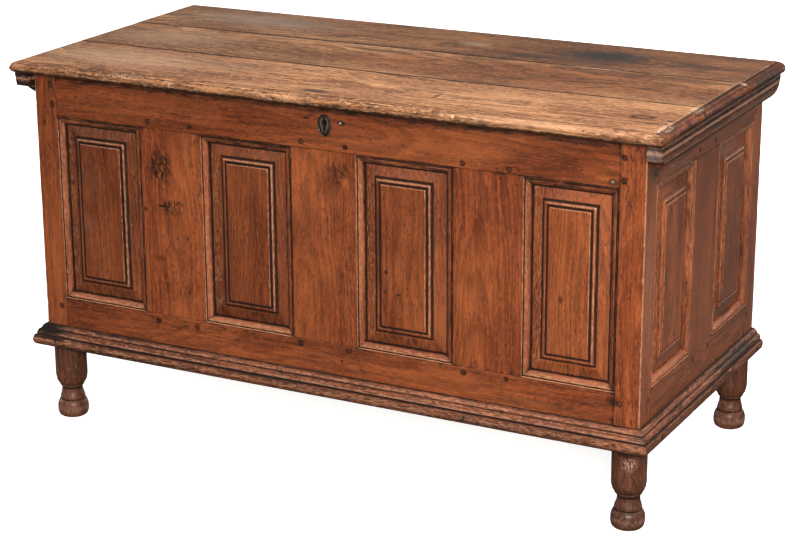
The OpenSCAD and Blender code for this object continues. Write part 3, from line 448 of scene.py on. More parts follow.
lidSpots = [
    onTop(-0.460, -0.190, 0.280, 0.100, "#bb9c82", 0.4, 0.9, 0.9),
    onTop(-0.480, 0.000, 0.200, 0.095, "#ab8f76", 0.35, 0.9, 0.9),
    # the right end: dark lines, dirt and chewed places
    onTop(0.6235, 0.020, 0.0022, 0.285, "#0f0907", 0.97, 0.8, 0.5),
    onTop(0.6195, 0.060, 0.0014, 0.230, "#20130d", 0.8, 1.6, 0.5),
    onTop(0.631, 0.000, 0.0016, 0.300, "#20130d", 0.85, 2.4, 0.5),
    # a painted shade line where the right end's nose turns under
    ((0.6375, 0.000, 0.6845), (0.004, 0.330, 0.0030), "#0f0907", 0.95, 1.4, 0.5),
    ((0.636, 0.205, 0.69), (0.014, 0.110, 0.03), "#2b1d18", 0.75, 0.9, 0.7),
    ((0.634, 0.200, 0.684), (0.014, 0.130, 0.008), "#100b09", 0.9, 0.9, 0.7),
    ((0.636, 0.020, 0.686), (0.012, 0.060, 0.010), "#1d110c", 0.8, 0.9, 0.7),
    ((0.636, -0.075, 0.684), (0.012, 0.070, 0.008), "#1d110c", 0.8, 0.9, 0.7),
    ((0.636, -0.190, 0.684), (0.012, 0.090, 0.008), "#160e0a", 0.85, 0.9, 0.7),
    ((0.632, -0.262, 0.692), (0.012, 0.036, 0.010), "#1d120d", 0.8, 1.5, 0.6, 1.0),
    ((0.624, -0.258, 0.698), (0.013, 0.054, 0.014), "#2e1a11", 0.85, 1.5, 0.6),
    ((0.619, -0.258, 0.698), (0.012, 0.046, 0.014), "#cfae93", 0.9, 0.9, 0.6, 1.0),
    ((0.624, -0.122, 0.698), (0.012, 0.038, 0.014), "#2e1a11", 0.8, 1.5, 0.6),
    ((0.619, -0.118, 0.700), (0.012, 0.034, 0.014), "#c9a88c", 0.85, 0.9, 0.6, 1.0),
    ((0.636, -0.190, 0.693), (0.012, 0.012, 0.014), "#140c08", 0.8, 1.2, 0.6),
    ((0.636, -0.115, 0.690), (0.012, 0.006, 0.014), "#140c08", 0.9, 0.8, 0.5),
    ((0.624, 0.100, 0.700), (0.010, 0.008, 0.014), "#b99a82", 0.8, 0.9, 0.5),
    # open and dirty joints
    onTop(-0.530, -0.098, 0.110, 0.004, "#140c08", 0.9, 0.5, 0.5),
    onTop(-0.180, 0.1025, 0.460, 0.0045, "#1c110c", 0.85, 0.8, 0.5),
    onTop(0.100, 0.1020, 0.330, 0.0055, "#140c09", 0.9, 1.2, 0.6),
    onTop(0.520, 0.1025, 0.110, 0.004, "#241711", 0.7, 0.8, 0.6),
    onTop(-0.100, -0.098, 0.500, 0.0026, "#1c110c", 0.8, 0.9, 0.5),
    onTop(0.450, -0.098, 0.180, 0.0022, "#2c1b13", 0.7, 0.9, 0.5),
    # broken lines along the worn front moulding
    onTop(0.000, -0.2935, 2.0, 0.0014, "#2a1810", 0.85, 2.4, 0.5),
    onTop(0.000, -0.2985, 2.0, 0.0013, "#382015", 0.75, 2.6, 0.5),
    onTop(-0.200, -0.3035, 1.0, 0.0016, "#2a1810", 0.8, 2.2, 0.5),
    # a painted shade band under the front edge's nose
    ((0.000, -0.306, 0.6815), (2.0, 0.020, 0.0055), "#190f0a", 0.9, 1.0, 0.6),
    # knots of the front board
    onTop(0.556, -0.200, 0.050, 0.030, "#7d4c30", 0.7, 0.8, 0.9),
    onTop(0.560, -0.203, 0.027, 0.016, "#24130c", 0.95, 0.7, 0.35),
    onTop(0.561, -0.203, 0.018, 0.008, "#7f5034", 0.9, 0.6, 0.4),
    onTop(0.520, -0.202, 0.020, 0.005, "#3a2014", 0.7, 1.2, 0.7),
    onTop(-0.012, -0.274, 0.036, 0.015, "#432a1d", 0.9, 0.9, 0.6),
    onTop(0.377, -0.276, 0.040, 0.006, "#4f3222", 0.8, 0.9, 0.7),
    onTop(0.194, -0.218, 0.004, 0.022, "#2c1a11", 0.8, 0.9, 0.5),
    onTop(-0.124, -0.138, 0.014, 0.005, "#3a2519", 0.8, 0.8, 0.6),
    # stains, greyed wood and the darker strips beside the joints
    onTop(0.330, 0.200, 0.200, 0.090, "#3a281e", 0.7, 1.6, 0.9),
    onTop(0.335, 0.200, 0.100, 0.055, "#241f1f", 0.92, 1.7, 0.7),
    onTop(0.200, 0.140, 0.080, 0.032, "#31221a", 0.8, 1.4, 0.8),
    onTop(0.500, 0.185, 0.070, 0.030, "#3a291f", 0.75, 1.4, 0.8),
    onTop(0.230, 0.2965, 0.400, 0.0045, "#1c120d", 0.85, 1.4, 0.6),
    onTop(0.560, 0.280, 0.090, 0.022, "#3d2a20", 0.7, 1.4, 0.8),
    onTop(0.300, 0.150, 0.150, 0.030, "#3a2a20", 0.6, 0.9, 0.9),
    onTop(-0.070, 0.070, 0.130, 0.012, "#35251b", 0.7, 0.9, 0.9),
    onTop(0.450, 0.070, 0.200, 0.030, "#4b2f20", 0.6, 0.9, 0.9),
    onTop(0.214, -0.089, 0.100, 0.016, "#4a3223", 0.6, 0.9, 0.9),
    onTop(-0.260, -0.080, 0.260, 0.018, "#5b3f2d", 0.5, 0.9, 0.9),
    ((-0.400, 0.215, 0.7), (0.260, 0.090, 0.05), "#85776b", 0.55, 0.9, 0.9),
    ((0.070, 0.195, 0.7), (0.045, 0.024, 0.05), "#9a8576", 0.45, 1.4, 0.9),
    ((-0.246, -0.169, 0.7), (0.140, 0.040, 0.05), "#7d6350", 0.45, 0.9, 0.9),
    onTop(0.355, 0.099, 0.070, 0.004, "#b9a48f", 0.9, 0.6, 0.6),
    onTop(-0.381, 0.126, 0.005, 0.005, "#160d09", 0.9, 0.3, 0.4),
    ((0.268, -0.304, 0.692), (0.003, 0.010, 0.004), "#d8cbbd", 0.9, 0.4, 0.5),
    # worn and chipped front edge
    ((-0.385, -0.302, 0.694), (0.036, 0.008, 0.005), "#b59c88", 0.7, 0.9, 0.7, 1.0),
    ((-0.060, -0.306, 0.69), (0.090, 0.012, 0.010), "#c39675", 0.7, 0.9, 0.8, 1.0),
    ((-0.560, -0.300, 0.69), (0.120, 0.014, 0.016), "#633a25", 0.7, 0.9, 0.8),
    ((0.430, -0.302, 0.694), (0.220, 0.014, 0.009), "#cfa585", 0.35, 0.9, 0.9),
    ((-0.330, -0.305, 0.683), (0.060, 0.012, 0.006), "#2a1a12", 0.8, 0.9, 0.7),
    ((0.050, -0.305, 0.684), (0.040, 0.012, 0.006), "#2a1a12", 0.8, 0.9, 0.7),
    ((-0.287, -0.304, 0.689), (0.003, 0.012, 0.007), "#b9a28e", 0.8, 0.6, 0.6),
]

# painted highlight and painted shade lines along the cleats for their moulding, the right cleat's front end
# painted grey as lit with painted shade below it, and the left cleat darkened
cleatSpots = [
    ((0.000, 0.000, 0.6660), (3.0, 3.0, 0.0026), "#a77b5e", 0.7, 1.6, 0.6),
    ((0.000, 0.000, 0.6500), (3.0, 3.0, 0.0026), "#93674b", 0.6, 1.6, 0.6),
    ((0.000, 0.000, 0.6730), (3.0, 3.0, 0.0026), "#0f0907", 0.9, 1.2, 0.5),
    ((0.000, 0.000, 0.6600), (3.0, 3.0, 0.0020), "#0f0907", 0.9, 1.4, 0.5),
    ((0.000, 0.000, 0.6430), (3.0, 3.0, 0.0022), "#0f0907", 0.85, 1.4, 0.5),
    ((0.617, -0.297, 0.664), (0.022, 0.008, 0.016), "#625957", 0.85, 0.6, 0.5),
    ((0.617, -0.297, 0.643), (0.022, 0.012, 0.009), "#1a1311", 0.9, 0.6, 0.5),
    ((-0.617, -0.200, 0.655), (0.060, 0.200, 0.060), "#191310", 0.85, 0.6, 0.5),
]

finishes = {
    "case": woodFinish("waxed walnut", caseLook, caseSpots),
    "cleat": woodFinish("cleat walnut", dict(baseLook, wearAndHighlight=0.8), cleatSpots),
    "mould": woodFinish("waxed walnut mouldings", mouldLook),
    "lid": woodFinish("worn lid wood", lidLook, lidSpots, lidWashes),
    "foot": woodFinish("dark foot wood", footLook, footSpots),
    "raw": woodFinish("bare inner wood", rawLook),
    "peg": woodFinish("peg wood", pegLook),
}

ironLook = {"dark": "#1d1b1a", "mid": "#3a3633", "rust": "#4c2f22", "rubbed": "#8d857d", "dirt": "#080605",
            "rough": 0.45, "metal": 0.75}


def ironFinish(name, look):
    material, tree, shader, place = newMaterial(name)
    broad = blur(tree, place, (90, 90, 90), 4.0, 0.6)
    fine = blur(tree, place, (600, 600, 600), 3.0, 0.6)
    colour = mixed(tree, span(tree, broad, 0.35, 0.65), paint(look["dark"]), paint(look["mid"]))
    colour = mixed(tree, span(tree, fine, 0.52, 0.7, 0, 0.7), colour, paint(look["rust"]))
    colour = mixed(tree, times(tree, mask(tree, "wearAndHighlight")["Fac"], 0.8), colour, paint(look["rubbed"]))
    colour = mixed(tree, times(tree, mask(tree, "grimeAndShade")["Fac"], 0.95), colour, paint(look["dirt"]))
    rough = span(tree, fine, 0.3, 0.7, look["rough"] - 0.12, look["rough"] + 0.2)
    height = calc(tree, "ADD", broad, calc(tree, "MULTIPLY", fine, 0.35))
    bump = nodeOut(tree, "ShaderNodeBump", {"Strength": 0.7, "Distance": 0.0005, "Height": height})
    setInputs(tree, shader, {"Base Color": colour, "Roughness": rough, "Normal": bump,
                             "Metallic": look["metal"]})
    return material


finishes["iron"] = ironFinish("wrought iron", ironLook)
finishes["nail"] = ironFinish("rusty nail iron",
                              dict(ironLook, dark="#150f0c", mid="#2a1c15", rough=0.6, metal=0.3))
finishes["plate"] = ironFinish("escutcheon iron",
                               dict(ironLook, dark="#2a2320", mid="#51443b", rough=0.3, metal=0.4))
print("finishes made:", len(finishes))

# Mesh helpers

draw = random.Random(7)


def bumpy(point, size, seed=0.0):
    # smooth noise from -1 to 1 at a scale of so many metres
    return noise.noise(Vector(point) / size + Vector((seed, seed * 0.37, -seed * 0.61)))


def rubbedOff(rub, broad, fine, seed):
    # how much is rubbed off at a place; rub is a depth, the size of the hollows, and the size, the threshold
    # and the share of the dents
    deep, hollow, dent, least, share = rub
    dents = max(0.0, bumpy(fine, dent, seed) - least) * deep * share
    return max(0.0, bumpy(broad, hollow, seed)) * deep + dents


def finishMesh(mesh, node, body, slotName, *materials, smooth=40):
    # a finished object from a mesh: smooth with sharp arrises, riding on its body and standing for its node
    mesh.shade_smooth()
    mesh.set_sharp_from_angle(angle=math.radians(smooth))
    for key in materials:
        mesh.materials.append(finishes[key])
    piece = addObject("dressed_" + node, mesh)
    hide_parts(node)
    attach(piece, body)


def toMesh(bm, name):
    mesh = bpy.data.meshes.new(name)
    bm.to_mesh(mesh)
    bm.free()
    return mesh


def placesOf(points):
    return np.array([p.co[:] for p in points])


def writeMasks(mesh, grain, wearAndHighlight, grimeAndShade, tone):
    # the piece's wood coordinates and masks, one value for each vertex
    attribute = mesh.attributes.new("grain", "FLOAT_VECTOR", "POINT")
    attribute.data.foreach_set("vector", np.asarray(grain, "f4").ravel())
    for key, values in (("wearAndHighlight", wearAndHighlight), ("grimeAndShade", grimeAndShade), ("tone", np.broadcast_to(tone, len(wearAndHighlight)))):
        attribute = mesh.attributes.new(key, "FLOAT", "POINT")
        attribute.data.foreach_set("value", np.asarray(values, "f4").ravel())


def woodPlace(points, axis, shift):
    # coordinates along, across and through the wood from the piece's middle, for grain along an axis
    order = {"x": (0, 2, 1), "z": (2, 0, 1), "y": (1, 2, 0)}[axis]
    points = np.asarray(points)
    middle = (points.min(0) + points.max(0)) / 2
    return (points - middle)[:, order] + np.asarray(shift)


def someShift(near=0.09):
    # a place in the tree for one piece: anywhere along it, and some way off its heart
    side = draw.choice((-1, 1))
    return (draw.uniform(0, 9), draw.uniform(-0.05, 0.05), side * draw.uniform(near * 0.5, near * 2))


# Frame members: the CAD node's own mesh, with its long arrises rounded and rubbed unevenly

memberValues = {
    "step": 0.016,        # distance of the cross cuts
    "arris": 0.0009,      # usual radius of a long arris
    "rub": (0.0005, 0.035, 0.009, 0.25, 2),    # depth, hollows, and dents that take off more
    "edgeBand": 0.004,    # width of the band beside an arris
    "pegBand": 0.0068,    # half width of the patch kept round each peg
    "outer": 0.0165,      # how deep the case's outer faces are finished
    "top": 0.6776,        # above this is the rim under the lid
}
sizes = {"frontY": -0.28015, "backY": 0.29385, "midY": 0.00685, "halfW": 0.6, "halfD": 0.287,
         "openLow": 0.247, "openHigh": 0.5985}


def nodeMesh(node):
    # the merged faces of a node
    bm = bmesh.new()
    bm.from_mesh(nodes[node].data)
    bmesh.ops.remove_doubles(bm, verts=bm.verts, dist=2e-6)
    return bm


def cutAcross(bm, axis, places):
    # cuts that stay when the flat faces between them are joined
    normal = Vector([1.0 if i == axis else 0.0 for i in range(3)])
    for at in places:
        cut = bmesh.ops.bisect_plane(bm, geom=bm.verts[:] + bm.edges[:] + bm.faces[:], plane_co=normal * at,
                                     plane_no=normal, dist=1e-6)["geom_cut"]
        for e in cut:
            if isinstance(e, bmesh.types.BMEdge):
                e.seam = True


def joinFlat(bm):
    bmesh.ops.dissolve_limit(bm, angle_limit=0.004, verts=bm.verts, edges=bm.edges,
                             delimit={"NORMAL", "SEAM"})
    for e in bm.edges:
        e.seam = False


def innerPart(x, y, v=memberValues):
    # which places are in the case, behind its panels
    wide, deep = sizes["halfW"] - v["outer"], sizes["halfD"] - v["outer"]
    return (np.abs(x) < wide) & (np.abs(y - sizes["midY"]) < deep)


def dressMember(name, axis, tone, body="case", slotName="case_wood", finish="case", arris=None, grimeAndShadeAt=None,
                wornAndLit=None, v=memberValues):
    # a rail, post or muntin, bare inside the case and on top; the given rule says which arrises are rubbed
    # and where a highlight is painted
    bm = nodeMesh(name)
    low, high = (Vector([end(p.co[i] for p in bm.verts) for i in range(3)]) for end in (min, max))
    along = "xyz".index(axis)
    across = [i for i in range(3) if i != along]
    steps = max(2, round((high[along] - low[along]) / v["step"]))
    cutAcross(bm, along, [low[along] + (high[along] - low[along]) * (i + draw.uniform(-0.25, 0.25)) / steps
                          for i in range(1, steps)])
    for i in across:
        if high[i] - low[i] > 0.02:
            cutAcross(bm, i, [low[i] + k * v["edgeBand"] for k in (1, 3, 5)]
                      + [high[i] - k * v["edgeBand"] for k in (1, 3, 5)])
    for place, aim, long in framePegs:
        if all(low[i] - 0.001 < place[i] < high[i] + 0.001 for i in range(3)):
            for i in range(3):
                if not aim[i]:
                    cutAcross(bm, i, [place[i] - v["pegBand"], place[i] + v["pegBand"]])
    joinFlat(bm)
    size = arris or v["arris"]

    def atCorner(p):
        return all(min(abs(p.co[i] - low[i]), abs(p.co[i] - high[i])) < 2e-5 for i in across)

    edges = [e for e in bm.edges if len(e.link_faces) == 2 and e.calc_face_angle(0) > 1.2
             and all(atCorner(p) for p in e.verts)
             and abs((e.verts[0].co - e.verts[1].co).normalized()[along]) > 0.99]
    made = bmesh.ops.bevel(bm, geom=edges, offset=size, segments=3, profile=0.5, affect="EDGES",
                           clamp_overlap=False)["verts"]
    middle = (low + high) / 2
    seed = draw.uniform(0, 50)
    for p in dict.fromkeys(made):
        deep = rubbedOff(v["rub"], p.co, p.co, seed)
        inward = Vector([(-1 if p.co[i] > middle[i] else 1) if i in across else 0 for i in range(3)])
        p.co += inward * deep * (size / v["arris"]) ** 0.5
    points = placesOf(bm.verts)
    wearAndHighlight = [wornAndLit(p.co) if wornAndLit else 0.0 for p in bm.verts]
    grimeAndShade = grimeAndShadeAt(points) if grimeAndShadeAt else np.zeros(len(points))
    for f in bm.faces:
        at = f.calc_center_median()
        if innerPart(at.x, at.y) or f.normal.z > 0.9 and at.z > v["top"]:
            f.material_index = 1
    mesh = toMesh(bm, name)
    writeMasks(mesh, woodPlace(points, axis, someShift()), wearAndHighlight, grimeAndShade, tone)
    finishMesh(mesh, name, body, slotName, finish, "raw", smooth=34)


# Panel openings, as [left, right] along each face seen from outside, and their height
frontOpenings = [(-0.554, -0.371), (-0.243, -0.0575), (0.0705, 0.2565), (0.3845, 0.554)]
endOpenings = [(-0.239, -0.0575), (0.0575, 0.239)]


def onFace(face, u, depth, up):
    # a point on the front, left, right or back face: u along it seen from outside, depth into the case
    if face == "front":
        return (u, sizes["frontY"] + depth, up)
    if face == "back":
        return (-u, sizes["backY"] - depth, up)
    if face == "right":
        return (sizes["halfW"] - depth, sizes["midY"] + u, up)
    return (-sizes["halfW"] + depth, sizes["midY"] - u, up)


def faceU(face, points):
    return {"front": points[:, 0], "back": -points[:, 0], "right": points[:, 1] - sizes["midY"],
            "left": sizes["midY"] - points[:, 1]}[face]


grimeAndShadeValues = {
    # strength and reach of the dirt: beside the panel openings, in the joints, up from the base moulding, and
    # of the painted shadow down from the lid
    "opening": (0.4, 0.004), "joint": (0.5, 0.001), "foot": (0.5, 0.008), "lidShadow": (0.66, 0.006),
    "peg": {"front": 0.68, "left": 0.3, "right": 0.3}, "pegEdge": 0.0046, "pegReach": 0.0022,
    # the keyhole, whose walls are painted black as shade
    "keyhole": (0.011, 0.6435), "keyholeHalf": (0.006, 0.012),
    "footTop": 0.191, "lidFoot": 0.667, "rim": 0.35,
}


def openingGrimeAndShade(face, openings, v=grimeAndShadeValues):
    # dirt beside the panel openings and the pegs, in the joints, and at the foot, with painted shadow down
    # from the lid and painted shade in the keyhole
    out = Vector({"front": (0, -1, 0), "right": (1, 0, 0), "left": (-1, 0, 0)}[face])
    onIt = [place for place, aim, long in framePegs if out.dot(aim) > 0.9]
    pegs = np.array([(faceU(face, np.array([place]))[0], place[2]) for place in onIt])
    edges = [openings[0][0], openings[-1][1]]

    def at(points):
        u, z = faceU(face, points), points[:, 2]
        near = np.full(len(points), 1.0)
        for a, b in openings:
            du = np.maximum(np.maximum(a - u, u - b), 0)
            dz = np.maximum(np.maximum(sizes["openLow"] - z, z - sizes["openHigh"]), 0)
            near = np.minimum(near, np.hypot(du, dz))
        level = np.minimum(np.abs(z - sizes["openLow"]), np.abs(z - sizes["openHigh"]))
        joint = np.where((u > edges[0] - 0.001) & (u < edges[1] + 0.001), level, 1.0)
        for edge in edges:
            joint = np.minimum(joint, np.abs(u - edge))
        peg = np.min(np.hypot(u[:, None] - pegs[:, 0], z[:, None] - pegs[:, 1]), axis=1)
        # painted shade: the keyhole's walls are darkened fully
        (holeX, holeZ), (wide, high) = v["keyhole"], v["keyholeHalf"]
        hole = (np.abs(u - holeX) < wide) & (np.abs(z - holeZ) < high) & (face == "front")
        dirt = hole + v["peg"][face] * np.exp(-(peg - v["pegEdge"]).clip(0) / v["pegReach"])
        # the last of these is a painted shadow cast down from the lid
        for key, far in (("opening", near), ("joint", joint), ("foot", (z - v["footTop"]).clip(0)),
                         ("lidShadow", (v["lidFoot"] - z).clip(0))):
            strength, reach = v[key]
            dirt = dirt + strength * np.exp(-far / reach)
        dirt = np.where(z > memberValues["top"], v["rim"], dirt)
        return np.where(innerPart(points[:, 0], points[:, 1]), 0.0, dirt)
    return at


cornerValues = {"out": 0.597, "front": -0.277, "rear": 0.29, "rubbed": 0.75,
                "pale": 0.25, "sheenOut": 0.5985, "sheenFront": -0.2, "sheenLow": 0.2, "sheenHigh": 0.66}


def outerCorner(p, v=cornerValues):
    # the free arrises at the chest's corners are rubbed, and the face beside the front right one gets a
    # painted sheen
    if abs(p.x) > v["out"] and (p.y < v["front"] or p.y > v["rear"]):
        return v["rubbed"]
    sheenFace = p.x > v["sheenOut"] and p.y < v["sheenFront"] and v["sheenLow"] < p.z < v["sheenHigh"]
    return v["pale"] if sheenFace else 0.0


def fixings(node):
    # each peg or nail of a node as (outer end, direction out of the wood, length); the outer end is the wider
    bm = nodeMesh(node)
    found, seen = [], set()
    for start in bm.verts:
        if start in seen:
            continue
        seen.add(start)
        group = [start]
        for p in group:
            for e in p.link_edges:
                q = e.other_vert(p)
                if q not in seen:
                    seen.add(q)
                    group.append(q)
        points = placesOf(group)
        low, high = points.min(0), points.max(0)
        axis = int(np.argmax(high - low))
        middle = (low + high) / 2
        ends = {}
        for sign, at in ((-1, low[axis]), (1, high[axis])):
            near = points[np.abs(points[:, axis] - at) < 0.0006] - middle
            near[:, axis] = 0
            outward = 1e-5 * sign * np.sign(middle[axis])
            ends[sign] = (np.linalg.norm(near, axis=1).max() + outward, at)
        sign = 1 if ends[1][0] > ends[-1][0] else -1
        place, aim = middle.copy(), np.zeros(3)
        place[axis], aim[axis] = ends[sign][1], sign
        found.append((tuple(place), tuple(aim), float(high[axis] - low[axis])))
    bm.free()
    return found


framePegs = fixings("frame_pegs")
frontGrimeAndShade = openingGrimeAndShade("front", frontOpenings)
rightGrimeAndShade = openingGrimeAndShade("right", endOpenings)
leftGrimeAndShade = openingGrimeAndShade("left", endOpenings)

for name, tone in (("front_top_rail", -0.35), ("front_bottom_rail", -0.1)):
    dressMember(name, "x", tone, grimeAndShadeAt=frontGrimeAndShade)
for name, tone in (("front_left_muntin", 0.15), ("front_middle_muntin", 0.0), ("front_right_muntin", 0.05)):
    dressMember(name, "z", tone, grimeAndShadeAt=frontGrimeAndShade)
for side, grimeAndShadeAt in (("left", leftGrimeAndShade), ("right", rightGrimeAndShade)):
    for name in (side + "_top_rail", side + "_bottom_rail"):
        dressMember(name, "y", -0.1, grimeAndShadeAt=grimeAndShadeAt)
    dressMember(side + "_muntin", "z", -0.3, grimeAndShadeAt=grimeAndShadeAt)


def postGrimeAndShade(side, end):
    along = leftGrimeAndShade if side == "left" else rightGrimeAndShade
    return lambda points: np.maximum(along(points), frontGrimeAndShade(points)) if end == "front" else along(points)


for side, tone in (("left", 0.0), ("right", 0.5)):
    for end in ("front", "rear"):
        dressMember("%s_%s_post" % (end, side), "z", tone, grimeAndShadeAt=postGrimeAndShade(side, end), arris=0.0011,
                    wornAndLit=outerCorner)
for name in ("back_top_rail", "back_bottom_rail"):
    dressMember(name, "x", -0.2, slotName="inner_wood", finish="raw")
print("frame members dressed")

# Lofted pieces: profiles with [in, depth, wear, grime] at each point

stripValues = {
    "mitre": 0.00021, "mitreDirt": 0.5, "mitreReach": 0.006, "step": 0.009,
    "rub": (0.0004, 0.03, 0.008, 0.3, 2),
    # how much of the wear shows by side: the bottom and left strips, which face the light, are paled most, a
    # painted highlight
    "wornAndLit": {"bottom": 0.85, "right": 0.2, "top": 0.12, "left": 0.66},
    # in from the opening's edge and depth below the frame's face, in mm, then wear and dirt
    "profile": [(0.1, 10.0, 0, 1), (0.1, 0.6, 0, 0.9), (0.25, -0.2, 0.4, 0.3), (0.6, -0.6, 1, 0),
                (1.8, -0.6, 1, 0), (2.2, -0.3, 0.5, 0.2), (2.4, 0.4, 0.1, 0.8), (2.6, 1.7, 0, 1),
                (3.6, 1.8, 0, 1), (3.9, 1.1, 0, 0.8), (4.2, 0.6, 0.35, 0.2), (4.8, 0.4, 0.8, 0),
                (6.4, 0.55, 0.8, 0), (8.0, 1.0, 0.65, 0), (9.7, 1.9, 0.55, 0), (11.1, 3.0, 0.45, 0),
                (12.2, 4.3, 0.3, 0.1), (12.9, 5.8, 0.15, 0.35), (13.2, 7.4, 0, 0.7), (13.3, 7.75, 0, 0.9),
                (13.9, 7.9, 0, 1), (14.0, 8.1, 0, 1), (14.0, 10.0, 0, 1)],
    # painted shade over the outer bead and the ovolo of the right and top strips, which face away from the
    # light, dirt with painted shade over the last 2 mm, and how far in the first two reach
    "beadShade": {"bottom": 0.0, "right": 0.75, "top": 0.7, "left": 0.0}, "bead": 0.0023,
    "coveShade": {"bottom": 0.0, "right": 0.4, "top": 0.56, "left": 0.0}, "cove": 0.012,
    "cornerDirtAndShade": {"bottom": 0.3, "right": 1.0, "top": 1.0, "left": 0.5},
}


def ringFaces(rings, n, capped=False):
    # the quads between rings of n points each, and the caps on the first and last ring
    faces = [(r * n + i, r * n + (i + 1) % n, (r + 1) * n + (i + 1) % n, (r + 1) * n + i)
             for r in range(rings - 1) for i in range(n)]
    if capped:
        faces += [tuple(range(n))[::-1], tuple((rings - 1) * n + i for i in range(n))]
    return faces


def loftStrip(length, seed, v):
    # rings of points along a strip, mitred at both ends, in the strip's own directions
    count = max(3, round(length / v["step"]))
    points, wearAndHighlight, grimeAndShade = [], [], []
    for i in range(count + 1):
        for inn, depth, w, g in v["profile"]:
            s0, s1 = v["mitre"] + inn * 1e-3, length - v["mitre"] - inn * 1e-3
            s = s0 + (s1 - s0) * (i / count)
            rub = w * rubbedOff(v["rub"], (s, inn * 0.004, seed), (s, inn * 0.01, seed), seed)
            points.append((s, inn * 1e-3, depth * 1e-3 + rub))
            wearAndHighlight.append(w)
            grimeAndShade.append(min(1, g + v["mitreDirt"] * math.exp(-min(s - s0, s1 - s) / v["mitreReach"])))
    return points, ringFaces(count + 1, len(v["profile"]), True), wearAndHighlight, grimeAndShade


def bareFaces(mesh, way):
    # the faces that look this way are bare wood
    for polygon in mesh.polygons:
        if polygon.normal.dot(way) > 0.9:
            polygon.material_index = 1


def outward(mesh):
    # turns a closed mesh's faces outwards
    bm = bmesh.new()
    bm.from_mesh(mesh)
    bmesh.ops.recalc_face_normals(bm, faces=bm.faces)
    bm.to_mesh(mesh)
    bm.free()


def joinParts(name, parts, tone):
    # one mesh from parts of (points, faces, grain, wear, grime)
    verts, faces, grain, wearAndHighlight, grimeAndShade = [], [], [], [], []
    for p, f, gr, w, g in parts:
        faces += [tuple(k + len(verts) for k in face) for face in f]
        verts += [tuple(q) for q in p]
        grain += [tuple(q) for q in gr]
        wearAndHighlight += list(w)
        grimeAndShade += list(g)
    mesh = bpy.data.meshes.new(name)
    mesh.from_pydata(verts, [], faces)
    mesh.update()
    writeMasks(mesh, grain, wearAndHighlight, grimeAndShade, tone)
    outward(mesh)
    return mesh


# the end panels' extra rubbing also paints the sheen seen on the ends, and they keep less of the dirt and
# painted shade
sideValues = {"dirt": 0.45, "wornAndLit": 0.65}    # how much dirt the end panels keep, and how rubbed they are


def panelMoulding(node, face, opening, v=stripValues):
    u0, u1 = opening
    z0, z1 = sizes["openLow"], sizes["openHigh"]
    sides = [("bottom", u1 - u0, lambda s, i: (u0 + s, z0 + i)),
             ("right", z1 - z0, lambda s, i: (u1 - i, z0 + s)),
             ("top", u1 - u0, lambda s, i: (u1 - s, z1 - i)),
             ("left", z1 - z0, lambda s, i: (u0 + i, z1 - s))]
    parts = []
    for side, length, turn in sides:
        seed = draw.uniform(0, 90)
        local, faces, wearAndHighlight, grimeAndShade = loftStrip(length, seed, v)
        points = [onFace(face, turn(s, inn)[0], depth, turn(s, inn)[1]) for s, inn, depth in local]
        shift = someShift()
        grain = [(s + shift[0], inn + shift[1], depth + shift[2]) for s, inn, depth in local]
        # wear with a painted highlight by side, and dirt with painted shade by side
        wearAndHighlight = [w * (v["wornAndLit"][side] if face == "front" else sideValues["wornAndLit"]) for w in wearAndHighlight]
        zone = [v["beadShade"] if inn < v["bead"] else v["coveShade"] if inn < v["cove"] else v["cornerDirtAndShade"]
                for s, inn, depth in local]
        kept = 1 if face == "front" else sideValues["dirt"]
        grimeAndShade = [max(g, z[side]) * kept for g, z in zip(grimeAndShade, zone)]
        parts.append((points, faces, grain, wearAndHighlight, grimeAndShade))
    finishMesh(joinParts(node, parts, draw.uniform(-0.3, 0.3)), node, "case", "moulding_wood", "mould")


for i, opening in enumerate(frontOpenings):
    panelMoulding("front_moulding_%d" % (i + 1), "front", opening)
# the ends' openings, each as (side, which, its place in endOpenings)
endPlaces = (("right", "front", 0), ("right", "rear", 1), ("left", "rear", 0), ("left", "front", 1))
for side, which, i in endPlaces:
    panelMoulding("%s_%s_moulding" % (side, which), side, endOpenings[i])
print("panel mouldings made")

